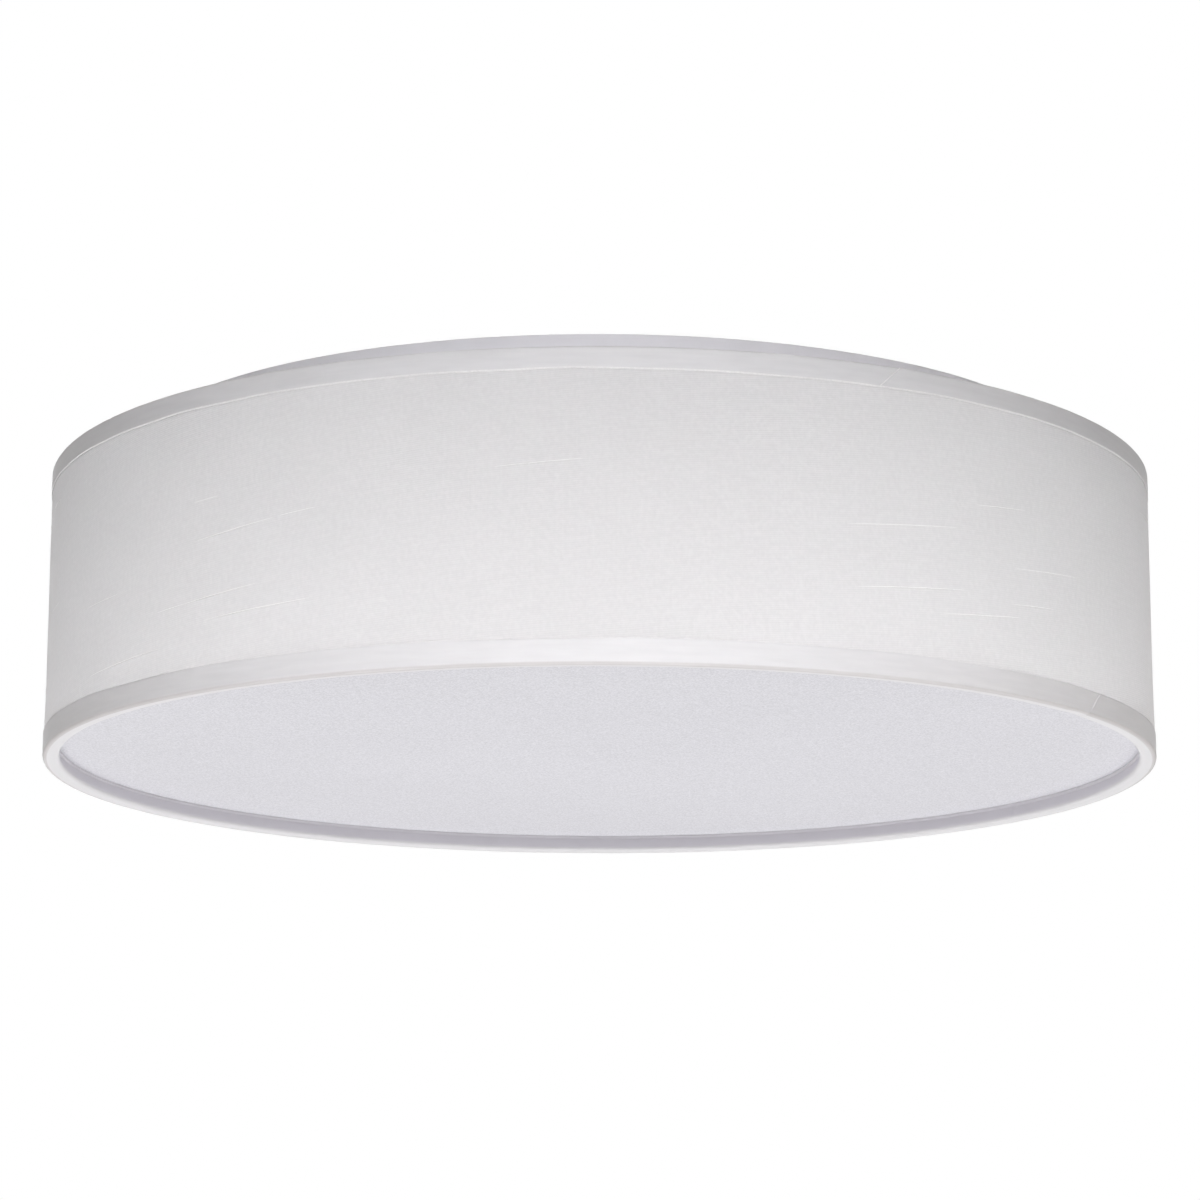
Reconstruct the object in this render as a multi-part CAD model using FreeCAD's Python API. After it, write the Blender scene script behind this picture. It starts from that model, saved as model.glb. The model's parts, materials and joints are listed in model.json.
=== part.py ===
import FreeCAD, Part
import math
import os

# A flush mount drum ceiling light, built as it hangs. The ceiling is the plane z = 0 and the origin is the
# middle of the ceiling face. +Z points up into the ceiling, so everything hangs at negative z. The +Y side
# is the back, where the seam of the shade is. All lengths are millimetres and all angles degrees, which
# count from +X towards +Y.
back_angle = 90.0

# Shade: fabric on a stiff liner, bound with trim tape at both edges
shade_diameter = 406.4
shade_height = 105.0
ceiling_gap = 12.4  # from the ceiling down to the top of the shade
trim_thickness = 0.4
fabric_thickness = 0.4
liner_thickness = 0.6
seam_width = 9.0  # the fabric's own overlap at the back
top_trim_height = 7.6
bottom_trim_height = 8.8
lip_width = 7.2  # the underside of the bottom rim, with its tape
lip_rounding = 1.2  # the rim's lower outer edge
lip_inner_rounding = 2.4
rounding_flat_count = 4  # the short flats that make up a rounding of the tape or of the hoop in it
ledge_height = 6.4  # from the lowest plane up to the face of the diffuser
wire_diameter = 3.0  # the top ring and the arms
tape_slit = 0.5  # around each arm where it passes the tape
diffuser_thickness = 2.0
diffuser_rounding = 0.4
diffuser_play = 1.2  # between the diffuser's edge and the liner

# Pan: pressed steel, with a step that the shade's collar seats against
pan_inset = 29.35  # from the outside of the shade in to the pan's rim
pan_sheet = 1.0
pan_rim_height = 11.0  # from the ceiling down to the seat under the step
pan_depth = 30.0
pan_step = 8.2
pan_bend = 1.5  # the inside radius of its bends

# Collar of the shade and the leaf springs that hold it
collar_sheet = 1.0
collar_height = 15.0
collar_bend = 0.5
clip_space = 4.4  # from the pan's lower wall out to the collar's wall
collar_flange = 1.9  # how far its top flange reaches in from its wall
clip_sheet = 0.5
clip_width = 14.0
clip_nose = 4.0  # how far the clip's nose stands out from the pan's wall
clip_nose_drop = 2.3  # from the seat down to the nose
clip_tip_drop = 0.5  # from the seat down to the clip's free end
clip_tip_reach = 1.1  # how far the free end stands out from the pan's wall
clip_foot_length = 8.0
clip_foot_rise = 1.5  # from the pan's underside up to the foot's lower end
clip_bend = 0.6
clip_count = 3
rivet_radius = 1.6
rivet_head_radius = 3.0
rivet_head = 1.0

# Ceiling strap with its studs, washers and thumb nuts
strap_length = 138.0
strap_width = 19.0
strap_thickness = 1.5
strap_corner = 4.75
box_screw_spacing = 79.375  # centre to centre of the slots, for both common box spacings
slot_length = 14.0
slot_width = 4.6
stud_spacing = 120.0
stud_radius = 2.0
stud_length = 42.0
stud_play = 0.6  # around a stud in the pan
washer_radius = 5.5
washer_thickness = 0.8
washer_play = 0.3
nut_radius = 7.0
nut_height = 7.0
nut_neck_radius = 4.5
nut_neck_height = 2.0
nut_play = 0.05
knurl_count = 20
knurl_radius = 0.6
bond_screw_place = 16.0  # along the strap from its middle

# Light source: a ring-shaped aluminium board under the pan
board_margin = 30.6  # from the board's outer edge to the pan's inner wall
board_width = 42.0
board_thickness = 1.6
led_margin = 15.0  # from each edge of the board to its circle of light sources
led_length = 3.5
led_width = 2.8
led_height = 0.7
inner_led_count = 28
outer_led_count = 34
board_screw_angles = [-140.0, -90.0, -40.0, 40.0, 140.0]
plug_length = 8.0
plug_width = 8.0
plug_height = 4.0
plug_edge_margin = 1.0

# Driver: a case, its cover and the circuit inside, on the pan's upper side
driver_length = 144.0
driver_width = 40.0
driver_height = 20.0
driver_wall = 1.6
driver_ear_length = 14.0
driver_ear_width = 10.0
driver_ear_height = 2.0
driver_ear_clearance = 4.8  # from an ear's screw to the edge of the light board below
case_play = 0.3  # between the case and what drops into it
circuit_thickness = 1.6
circuit_post = 2.0
circuit_post_radius = 2.5
circuit_post_inset = 6.0
transformer_length = 22.0
transformer_width = 18.0
transformer_height = 11.5
transformer_core = 8.0
capacitor_radius = 5.0
capacitor_length = 20.0
capacitor_place = -32.0  # along the circuit board from its middle
choke_radius = 6.0
choke_hole_radius = 2.6
choke_height = 6.0
choke_place = 34.0
driver_terminal_length = 9.0
driver_terminal_width = 12.0
driver_terminal_height = 8.0
driver_terminal_margin = 0.1  # from the terminals to the rim of the cover

# Terminal block for the supply wires
pole_count = 3
pole_pitch = 9.0
block_end = 3.5  # from the outer pole's sleeve to the end of the block
block_depth = 20.0
block_height = 17.0
sleeve_radius = 2.6
sleeve_bore_radius = 1.7
sleeve_stop = 2.0  # the wire stop in the middle of a sleeve
entry_radius = 2.0
entry_depth = 2.0
clamp_screw_radius = 1.2
clamp_head_radius = 1.9
clamp_head = 1.6
clamp_screw_inset = 3.4  # from the sleeve's end to the screw
block_from_screw = 5.0  # from the light board's screw beside it
block_behind_leads = 44.0  # from the line of the leads to the middle of the block

# Leads, their grommet and the bonding tag
lead_level = 8.5  # the leads' height above the pan's floor
lead_spacing = 4.0
supply_lead_radius = 1.2
output_lead_radius = 0.9
grommet_hole_radius = 6.0
grommet_bore_radius = 4.8
grommet_flange_radius = 7.4
grommet_flange = 1.2
grommet_clearance = 2.5  # from the grommet to the edge of the light board
tag_radius = 4.0
tag_thickness = 0.8
tag_barrel_radius = 1.8
tag_barrel_length = 6.0
tag_distance = 30.0  # from the back of the terminal block to the bonding screw
drop_start = 0.2  # where the earthing lead starts down to the tag, as a share of its way there
drop_end = 0.6  # where it has come down
bend_share = 0.45  # how much of the shorter run beside a bend of a lead its arc may use

# Screws
small_screw_radius = 1.5
small_head_radius = 2.8
small_head = 1.9
large_screw_radius = 2.0
large_head_radius = 3.8
large_head = 2.4
head_chamfer = 0.4
screw_slot_width = 0.8
screw_slot_depth = 0.8
screw_reach = 3.0  # how far a screw goes past the sheet that it holds in
earth_screw_reach = 1.5

# Levels and radii that follow from the sizes above
shade_radius = shade_diameter / 2
shade_top = -ceiling_gap
shade_bottom = shade_top - shade_height
fabric_radius = shade_radius - trim_thickness
liner_radius = fabric_radius - fabric_thickness
liner_bore = liner_radius - liner_thickness
lip_radius = shade_radius - lip_width
ledge_level = shade_bottom + ledge_height
wire_radius = wire_diameter / 2
ring_radius = liner_bore - wire_radius
ring_level = shade_top - trim_thickness - wire_radius
arm_level = ring_level - wire_radius
diffuser_radius = liner_bore - diffuser_play

pan_radius = shade_radius - pan_inset
seat_level = -pan_rim_height
floor_under = -pan_depth
floor_top = floor_under + pan_sheet
pan_wall_radius = pan_radius - pan_step
pan_inner_radius = pan_wall_radius - pan_sheet
collar_bore = pan_wall_radius + clip_space
collar_radius = collar_bore + collar_sheet
flange_bore = collar_bore - collar_flange
clip_angles = [back_angle + 360 * n / clip_count for n in range(clip_count)]
arm_angles = [angle + 180 / clip_count for angle in clip_angles]
rivet_level = floor_under + clip_foot_rise + clip_foot_length / 2

stud_places = [-stud_spacing / 2, stud_spacing / 2]
board_radius = pan_inner_radius - board_margin
board_inner_radius = board_radius - board_width
board_under = floor_under - board_thickness
board_screw_circle = (board_inner_radius + board_radius) / 2
led_radii = [board_inner_radius + led_margin, board_radius - led_margin]

driver_half = driver_length / 2
ear_place = driver_half + driver_ear_length / 2
driver_screw_circle = board_radius + small_screw_radius + driver_ear_clearance
driver_y = math.sqrt(driver_screw_circle**2 - ear_place**2)
driver_front = driver_y - driver_width / 2
case_top = floor_top + driver_height - driver_wall
circuit_under = floor_top + driver_wall + circuit_post
circuit_top = circuit_under + circuit_thickness
circuit_half = driver_half - driver_wall - case_play
winding_radius = transformer_height / 3
lead_z = floor_top + lead_level
lead_y = driver_front + driver_wall + case_play + driver_terminal_margin + driver_terminal_width / 2
grommet_circle = board_radius + grommet_flange_radius + grommet_clearance
grommet_x = math.sqrt(grommet_circle**2 - lead_y**2)
plug_x = grommet_x
plug_face = math.sqrt(board_radius**2 - (plug_x + plug_width / 2) ** 2) - plug_edge_margin

pole_offsets = [pole_pitch * (n - (pole_count - 1) / 2) for n in range(pole_count)]
block_half = (pole_count - 1) * pole_pitch / 2 + sleeve_radius + block_end
block_edge = board_screw_circle * math.cos(math.radians(board_screw_angles[-1])) - small_screw_radius
block_x = block_edge - block_from_screw - block_half
block_y = lead_y - block_behind_leads
block_front = block_y - block_depth / 2
block_back = block_y + block_depth / 2
sleeve_half = block_depth / 2 - entry_depth
sleeve_bore_depth = sleeve_half - sleeve_stop / 2
clamp_shank = block_height / 4  # from the tip of a clamp screw to its head
block_screw_offsets = [pole_pitch * (n + 0.5 - (pole_count - 1) / 2) for n in range(pole_count - 1)]
tag_x = block_x + pole_offsets[0]
tag_y = block_back + tag_distance


def vec(x, y, z=0.0):
    return FreeCAD.Vector(x, y, z)


UP = vec(0, 0, 1)
MIDDLE = vec(0, 0, 0)


def on_circle(radius, angle, z=0.0):
    """The point at this radius and angle round the Z axis."""
    turn = math.radians(angle)
    return vec(radius * math.cos(turn), radius * math.sin(turn), z)


def cylinder(radius, start, along):
    """A round bar of this radius from a point, as long as the vector along."""
    return Part.makeCylinder(radius, along.Length, start, along)


def upright(radius, x, y, low, high):
    return cylinder(radius, vec(x, y, low), vec(0, 0, high - low))


def box(x_low, x_high, y_low, y_high, low, high):
    return Part.makeBox(x_high - x_low, y_high - y_low, high - low, vec(x_low, y_low, low))


def tube(outer, inner, low, high):
    return upright(outer, 0, 0, low, high).cut(upright(inner, 0, 0, low, high))


def turned(shape, angle):
    """A copy of the shape, turned about the Z axis."""
    copy = shape.copy()
    copy.rotate(MIDDLE, UP, angle)
    return copy


def group(shapes):
    """Several like solids that share a node."""
    return Part.makeCompound([solid for shape in shapes for solid in shape.Solids])


def corner_arc(before, corner, after, radius):
    """The two ends and the middle of the arc that rounds a corner between two straight runs."""
    back = (before - corner).normalize()
    ahead = (after - corner).normalize()
    half = back.getAngle(ahead) / 2
    middle = (back + ahead).normalize()
    reach = radius / math.tan(half)
    crown = radius / math.sin(half) - radius
    return corner + back * reach, corner + middle * crown, corner + ahead * reach


def flats(corners):
    """The same section (radius, z, rounding), with each rounding made of short flats."""
    points = [vec(r, z) for r, z, _ in corners]
    made = []
    for n, (r, z, rounding) in enumerate(corners):
        if rounding:
            ends = corner_arc(points[n - 1], points[n], points[(n + 1) % len(points)], rounding)
            steps = Part.Arc(*ends).toShape().discretize(rounding_flat_count + 1)
            made += [(point.x, point.y, 0) for point in steps]
        else:
            made.append((r, z, 0))
    return made


def rounded_wire(corners, closed=True):
    """A wire of straight runs through the corners (point, radius), with a tangent arc at each rounded one."""
    edges = []
    last = len(corners) - 1
    ends = []
    for n, (point, radius) in enumerate(corners):
        if radius and (closed or 0 < n < last):
            before = corners[n - 1][0]
            after = corners[(n + 1) % len(corners)][0]
            entry, crown, leave = corner_arc(before, point, after, radius)
            ends.append((entry, leave, Part.Arc(entry, crown, leave).toShape()))
        else:
            ends.append((point, point, None))
    for n, (entry, leave, arc) in enumerate(ends):
        if arc:
            edges.append(arc)
        if n < last or closed:
            follower = ends[(n + 1) % len(ends)][0]
            edges.append(Part.LineSegment(leave, follower).toShape())
    return Part.Wire(edges)


def ring(corners, angle=360):
    """A solid of revolution about Z. Each corner of its section is (radius from the axis, z, rounding)."""
    wire = rounded_wire([(vec(r, 0, z), rounding) for r, z, rounding in corners])
    return Part.Face(wire).revolve(MIDDLE, UP, angle)


def sheet_section(path, thickness, bend):
    """The section of a bent sheet. The path (r, z) follows one face, and the sheet lies on its right."""
    turns = []
    for n, (r, z) in enumerate(path):
        here = vec(r, z)
        ahead = (vec(*path[n + 1]) - here).normalize() if n + 1 < len(path) else None
        back = (here - vec(*path[n - 1])).normalize() if n else None
        first, second = back or ahead, ahead or back
        left_turn = first.cross(second).z > 0
        corner = bool(back and ahead)
        side = vec(first.y + second.y, -first.x - second.x).normalize()
        reach = thickness / side.dot(vec(first.y, -first.x))
        near = (bend if left_turn else bend + thickness) if corner else 0
        far = (bend + thickness if left_turn else bend) if corner else 0
        turns.append(((r, z, near), (r + side.x * reach, z + side.y * reach, far)))
    return [near for near, _ in turns] + [far for _, far in reversed(turns)]


def tape_section(outer, inner, fold, legs, roundings):
    """The section of tape folded over an edge: two legs and the fold, of one thickness.

    outer and inner are the radii of its outside, and fold is the z of the outside of the fold. legs are the z
    of the free ends of the outer and the inner leg, and roundings those of the fold's two edges.
    """
    t = trim_thickness
    inside = fold + math.copysign(t, legs[0] - fold)
    corners = [
        (outer, legs[0], 0),
        (outer, fold, roundings[0]),
        (inner, fold, roundings[1]),
        (inner, legs[1], 0),
        (inner + t, legs[1], 0),
        (inner + t, inside, roundings[1] - t),
        (outer - t, inside, roundings[0] - t),
        (outer - t, legs[0], 0),
    ]
    return flats(corners)


def lead(points, radius, name):
    """A wire lead swept along straight runs joined by arcs as large as the runs allow."""
    corners = [(points[0], 0)]
    radii = []
    for before, here, after in zip(points, points[1:], points[2:]):
        turn = (here - before).getAngle(after - here)
        shorter = min((here - before).Length, (after - here).Length)
        bend = bend_share * shorter / math.tan(turn / 2)
        radii.append(round(bend, 1))
        corners.append((here, bend))
    corners.append((points[-1], 0))
    path = rounded_wire(corners, closed=False)
    start = Part.Wire(Part.makeCircle(radius, points[0], points[1] - points[0]))
    solid = path.makePipeShell([start], True, False)
    share = solid.Volume / (math.pi * radius**2 * path.Length)
    print(f"{name}: length {path.Length:.1f}, radii {radii}, volume over section times length {share:.4f}")
    return solid


def screw(x, y, seat, reach, radius, head_radius, head, up):
    """A slotted screw. Its head rests on the level seat, above it if up is 1 and below it if up is -1."""
    shank = cylinder(radius, vec(x, y, seat), vec(0, 0, -up * reach))
    shoulder = head - head_chamfer
    cap = cylinder(head_radius, vec(x, y, seat), vec(0, 0, up * shoulder))
    chamfer = Part.makeCone(
        head_radius,
        head_radius - head_chamfer,
        head_chamfer,
        vec(x, y, seat + up * shoulder),
        vec(0, 0, up),
    )
    slot_ends = sorted((seat + up * head, seat + up * (head - screw_slot_depth)))
    half = screw_slot_width / 2
    slot = box(x - head_radius, x + head_radius, y - half, y + half, *slot_ends)
    cap = cap.fuse(chamfer)
    return shank.fuse(cap.cut(slot)).removeSplitter()


# Shade


def shade_fabric():
    """The woven skin, lapped over itself along the seam at the back."""
    low = shade_bottom + lip_rounding
    skin = tube(fabric_radius, liner_radius, low, ring_level)
    half_lap = math.degrees(seam_width / 2 / fabric_radius)
    lap_low = shade_bottom + bottom_trim_height
    lap_high = shade_top - top_trim_height
    lap = ring(
        [
            (fabric_radius - fabric_thickness / 2, lap_low, 0),
            (shade_radius, lap_low, 0),
            (shade_radius, lap_high, 0),
            (fabric_radius - fabric_thickness / 2, lap_high, 0),
        ],
        2 * half_lap,
    )
    return skin.fuse(turned(lap, back_angle - half_lap))


def shade_liner():
    low = shade_bottom + lip_rounding
    return tube(liner_radius, liner_bore, low, ring_level)


def top_ring():
    return Part.makeTorus(ring_radius, wire_radius, vec(0, 0, ring_level))


def arm(angle):
    """A wire arm from the collar out to the top ring, welded on a little below the ring's middle."""
    bar = cylinder(wire_radius, vec(collar_bore, 0, arm_level), vec(ring_radius - collar_bore, 0, 0))
    bar = bar.cut(upright(collar_radius, 0, 0, arm_level - wire_diameter, arm_level + wire_diameter))
    return turned(bar.cut(top_ring()), angle)


def top_trim():
    """Tape over the top ring, slit where the arms pass through its inner leg."""
    inner = ring_radius - wire_radius - trim_thickness
    tape = ring(
        tape_section(
            shade_radius,
            inner,
            shade_top,
            (shade_top - top_trim_height, ring_level - wire_diameter),
            (wire_radius, wire_radius),
        )
    )
    reach = wire_radius + 2 * trim_thickness
    slit = cylinder(wire_radius + tape_slit, vec(inner - wire_radius, 0, arm_level), vec(reach, 0, 0))
    for angle in arm_angles:
        tape = tape.cut(turned(slit, angle))
    return tape


def bottom_hoop():
    """The moulded hoop inside the bottom edge. Its upper face is the ledge for the diffuser."""
    inner = lip_radius + trim_thickness
    low = shade_bottom + trim_thickness
    corners = [
        (inner, low, lip_inner_rounding - trim_thickness),
        (liner_bore, low, lip_rounding - trim_thickness),
        (liner_bore, ledge_level, 0),
        (inner, ledge_level, 0),
    ]
    return ring(flats(corners))


def bottom_trim():
    """Tape wrapped from the outside of the shade round the rim to the ledge."""
    return ring(
        tape_section(
            shade_radius,
            lip_radius,
            shade_bottom,
            (shade_bottom + bottom_trim_height, ledge_level),
            (lip_rounding, lip_inner_rounding),
        )
    )


def fitter_collar():
    """A pressed ring with a top flange, which the springs push up against the pan's step."""
    path = [
        (flange_bore, seat_level),
        (collar_radius, seat_level),
        (collar_radius, seat_level - collar_height),
    ]
    return ring(sheet_section(path, collar_sheet, collar_bend))


def diffuser():
    """The loose opal sheet that rests on the ledge."""
    high = ledge_level + diffuser_thickness
    return ring(
        [
            (0, ledge_level, 0),
            (diffuser_radius, ledge_level, diffuser_rounding),
            (diffuser_radius, high, diffuser_rounding),
            (0, high, 0),
        ]
    )


# Pan and the springs on it


def ceiling_pan():
    path = [
        (pan_radius, 0),
        (pan_radius, seat_level),
        (pan_wall_radius, seat_level),
        (pan_wall_radius, floor_under),
        (0, floor_under),
    ]
    pan = ring(sheet_section(path, pan_sheet, pan_bend))
    holes = [(x, 0, stud_radius + stud_play) for x in stud_places]
    for angle in board_screw_angles:
        place = on_circle(board_screw_circle, angle)
        holes.append((place.x, place.y, small_screw_radius))
    for x in (-ear_place, ear_place):
        holes.append((x, driver_y, small_screw_radius))
    for offset in block_screw_offsets:
        holes.append((block_x + offset, block_y, small_screw_radius))
    holes.append((tag_x, tag_y, large_screw_radius))
    holes.append((grommet_x, lead_y, grommet_hole_radius))
    for x, y, radius in holes:
        pan = pan.cut(upright(radius, x, y, floor_under, floor_top))
    for angle in clip_angles:
        start = on_circle(pan_inner_radius - pan_sheet, angle, rivet_level)
        pan = pan.cut(cylinder(rivet_radius, start, on_circle(3 * pan_sheet, angle)))
    return pan


def spring_clip(angle):
    """A leaf spring riveted to the pan's lower wall. Its nose holds the collar's flange up on the seat."""
    foot_low = floor_under + clip_foot_rise
    path = [
        (pan_wall_radius + clip_sheet, foot_low),
        (pan_wall_radius + clip_sheet, foot_low + clip_foot_length),
        (pan_wall_radius + clip_nose, seat_level - clip_nose_drop),
        (pan_wall_radius + clip_tip_reach, seat_level - clip_tip_drop),
    ]
    half = math.degrees(clip_width / 2 / pan_wall_radius)
    leaf = ring(sheet_section(path[::-1], clip_sheet, clip_bend), 2 * half)
    start = vec(pan_wall_radius - clip_sheet, 0, rivet_level)
    hole = cylinder(rivet_radius, start, vec(3 * clip_sheet, 0, 0))
    return turned(turned(leaf, -half).cut(hole), angle)


def clip_rivets():
    """One rivet through each spring's foot and the pan's wall, headed on both sides."""
    rivets = []
    for angle in clip_angles:
        start = vec(pan_inner_radius - rivet_head, 0, rivet_level)
        grip = pan_sheet + clip_sheet
        shank = cylinder(rivet_radius, start, vec(grip + rivet_head, 0, 0))
        heads = cylinder(rivet_head_radius, start, vec(grip + 2 * rivet_head, 0, 0))
        sheets = tube(pan_inner_radius + grip, pan_inner_radius, floor_under, seat_level)
        rivets.append(turned(shank.fuse(heads.cut(sheets)).removeSplitter(), angle))
    return group(rivets)


# Strap, studs and thumb nuts


def mounting_strap():
    """The flat bar that is screwed to the ceiling box through its two slots."""
    half = strap_length / 2
    strap = box(-half, half, -strap_width / 2, strap_width / 2, -strap_thickness, 0)
    corners = [edge for edge in strap.Edges if edge.BoundBox.ZLength > strap_thickness / 2]
    strap = strap.makeFillet(strap_corner, corners)
    for sign in (-1, 1):
        middle = sign * box_screw_spacing / 2
        run = slot_length / 2 - slot_width / 2
        slot = box(middle - run, middle + run, -slot_width / 2, slot_width / 2, -strap_thickness, 0)
        for end in (middle - run, middle + run):
            slot = slot.fuse(upright(slot_width / 2, end, 0, -strap_thickness, 0))
        strap = strap.cut(slot.removeSplitter())
    for x in stud_places:
        strap = strap.cut(upright(stud_radius, x, 0, -strap_thickness, 0))
    return strap.cut(upright(large_screw_radius, bond_screw_place, 0, -strap_thickness, 0))


def hanger_studs():
    return group([upright(stud_radius, x, 0, -stud_length, 0) for x in stud_places])


def strap_bond_screw():
    """The earthing screw under the strap, flush with the strap's ceiling side."""
    return screw(
        bond_screw_place,
        0,
        -strap_thickness,
        strap_thickness,
        large_screw_radius,
        large_head_radius,
        large_head,
        -1,
    )


def stud_washer(x):
    high = floor_under
    low = high - washer_thickness
    return upright(washer_radius, x, 0, low, high).cut(upright(stud_radius + washer_play, x, 0, low, high))


def thumb_nut(x):
    """A knurled nut with a smaller neck against its washer."""
    high = floor_under - washer_thickness
    shoulder = high - nut_neck_height
    low = high - nut_height
    nut = upright(nut_neck_radius, x, 0, shoulder, high).fuse(upright(nut_radius, x, 0, low, shoulder))
    nut = nut.cut(upright(stud_radius + nut_play, x, 0, low, high))
    for n in range(knurl_count):
        groove = on_circle(nut_radius, 360 * n / knurl_count)
        nut = nut.cut(upright(knurl_radius, x + groove.x, groove.y, low, shoulder))
    return nut


# Light source


def led_board():
    board = tube(board_radius, board_inner_radius, board_under, floor_under)
    for angle in board_screw_angles:
        place = on_circle(board_screw_circle, angle)
        board = board.cut(upright(small_screw_radius, place.x, place.y, board_under, floor_under))
    return board


def led_packages():
    """Two circles of surface mounted light sources."""
    sources = []
    half_length, half_width = led_length / 2, led_width / 2
    for radius, count in zip(led_radii, (inner_led_count, outer_led_count)):
        one = box(
            radius - half_width,
            radius + half_width,
            -half_length,
            half_length,
            board_under - led_height,
            board_under,
        )
        sources += [turned(one, 360 * (n + 0.5) / count) for n in range(count)]
    return group(sources)


def board_screws():
    screws = []
    for angle in board_screw_angles:
        place = on_circle(board_screw_circle, angle)
        reach = board_thickness + pan_sheet + screw_reach
        screws.append(
            screw(
                place.x,
                place.y,
                board_under,
                reach,
                small_screw_radius,
                small_head_radius,
                small_head,
                -1,
            )
        )
    return group(screws)


def board_plug():
    """The two-pole plug on the light board that takes the driver's output."""
    return box(
        plug_x - plug_width / 2,
        plug_x + plug_width / 2,
        plug_face - plug_length,
        plug_face,
        board_under - plug_height,
        board_under,
    )


# Driver


def case_lead_holes(radius, side):
    """Holes for two leads through an end wall of the driver's case."""
    start = side * (driver_half - 2 * driver_wall)
    return [
        cylinder(radius + case_play, vec(start, lead_y + offset, lead_z), vec(side * 3 * driver_wall, 0, 0))
        for offset in (-lead_spacing / 2, lead_spacing / 2)
    ]


def driver_case():
    back = driver_front + driver_width
    case = box(-driver_half, driver_half, driver_front, back, floor_top, case_top)
    case = case.cut(
        box(
            -driver_half + driver_wall,
            driver_half - driver_wall,
            driver_front + driver_wall,
            back - driver_wall,
            floor_top + driver_wall,
            case_top,
        )
    )
    for x in (-driver_half + circuit_post_inset, driver_half - circuit_post_inset):
        for y in (driver_front + circuit_post_inset, back - circuit_post_inset):
            case = case.fuse(upright(circuit_post_radius, x, y, floor_top, circuit_under))
    ear_half = driver_ear_width / 2
    for side in (-1, 1):
        ends = sorted((side * driver_half, side * (driver_half + driver_ear_length)))
        ear_top = floor_top + driver_ear_height
        ear = box(*ends, driver_y - ear_half, driver_y + ear_half, floor_top, ear_top)
        hole = upright(small_screw_radius, side * ear_place, driver_y, floor_top, ear_top)
        case = case.fuse(ear).cut(hole)
    for radius, side in ((supply_lead_radius, -1), (output_lead_radius, 1)):
        for hole in case_lead_holes(radius, side):
            case = case.cut(hole)
    return case.removeSplitter()


def driver_cover():
    """The lid, with a rim that drops inside the case."""
    back = driver_front + driver_width
    lid = box(-driver_half, driver_half, driver_front, back, case_top, case_top + driver_wall)
    inset = driver_wall + case_play
    rim = box(
        -driver_half + inset,
        driver_half - inset,
        driver_front + inset,
        back - inset,
        case_top - driver_wall,
        case_top,
    )
    hollow = box(
        -driver_half + inset + driver_wall,
        driver_half - inset - driver_wall,
        driver_front + inset + driver_wall,
        back - inset - driver_wall,
        case_top - driver_wall,
        case_top,
    )
    return lid.fuse(rim.cut(hollow)).removeSplitter()


def driver_circuit():
    inset = driver_wall + case_play
    back = driver_front + driver_width
    return box(-circuit_half, circuit_half, driver_front + inset, back - inset, circuit_under, circuit_top)


def driver_transformer():
    """A ferrite core with its winding standing out on both sides."""
    core = box(
        -transformer_length / 2,
        transformer_length / 2,
        driver_y - transformer_core / 2,
        driver_y + transformer_core / 2,
        circuit_top,
        circuit_top + transformer_height,
    )
    half = transformer_width / 2
    winding = cylinder(
        winding_radius,
        vec(0, driver_y - half, circuit_top + transformer_height / 2),
        vec(0, transformer_width, 0),
    )
    return core.fuse(winding)


def driver_capacitor():
    start = vec(capacitor_place, driver_y - capacitor_length / 2, circuit_top + capacitor_radius)
    return cylinder(capacitor_radius, start, vec(0, capacitor_length, 0))


def driver_choke():
    high = circuit_top + choke_height
    core = upright(choke_radius, choke_place, driver_y, circuit_top, high)
    return core.cut(upright(choke_hole_radius, choke_place, driver_y, circuit_top, high))


def driver_terminal(side):
    """A two-pole terminal on the circuit board, inside an end of the case."""
    ends = sorted((side * circuit_half, side * (circuit_half - driver_terminal_length)))
    half = driver_terminal_width / 2
    return box(*ends, lead_y - half, lead_y + half, circuit_top, circuit_top + driver_terminal_height)


def driver_screws():
    seat = floor_top + driver_ear_height
    reach = driver_ear_height + pan_sheet + screw_reach
    return group(
        [
            screw(x, driver_y, seat, reach, small_screw_radius, small_head_radius, small_head, 1)
            for x in (-ear_place, ear_place)
        ]
    )


# Terminal block and earthing


def clamp_screw_places():
    """The clamp screws of every pole: (x, y, whether a lead is held there)."""
    places = []
    for offset in pole_offsets:
        for side in (-1, 1):
            y = block_y + side * (sleeve_half - clamp_screw_inset)
            places.append((block_x + offset, y, side == 1))
    return places


def terminal_block():
    high = floor_top + block_height
    block = box(block_x - block_half, block_x + block_half, block_front, block_back, floor_top, high)
    for offset in pole_offsets:
        x = block_x + offset
        block = block.cut(cylinder(entry_radius, vec(x, block_front, lead_z), vec(0, block_depth, 0)))
        block = block.cut(
            cylinder(sleeve_radius, vec(x, block_y - sleeve_half, lead_z), vec(0, 2 * sleeve_half, 0))
        )
    for x, y, _ in clamp_screw_places():
        block = block.cut(upright(clamp_head_radius + case_play, x, y, lead_z, high))
    for offset in block_screw_offsets:
        x = block_x + offset
        block = block.cut(upright(small_screw_radius, x, block_y, floor_top, high))
    return block


def terminal_sleeves():
    """A brass sleeve for each pole, with a wire stop in its middle."""
    sleeves = []
    for offset in pole_offsets:
        x = block_x + offset
        sleeve = cylinder(sleeve_radius, vec(x, block_y - sleeve_half, lead_z), vec(0, 2 * sleeve_half, 0))
        for side in (-1, 1):
            mouth = vec(x, block_y + side * sleeve_half, lead_z)
            sleeve = sleeve.cut(cylinder(sleeve_bore_radius, mouth, vec(0, -side * sleeve_bore_depth, 0)))
        sleeves.append(sleeve)
    for x, y, _ in clamp_screw_places():
        hole = upright(clamp_screw_radius, x, y, lead_z, lead_z + sleeve_radius)
        sleeves = [sleeve.cut(hole) for sleeve in sleeves]
    return group(sleeves)


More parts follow.
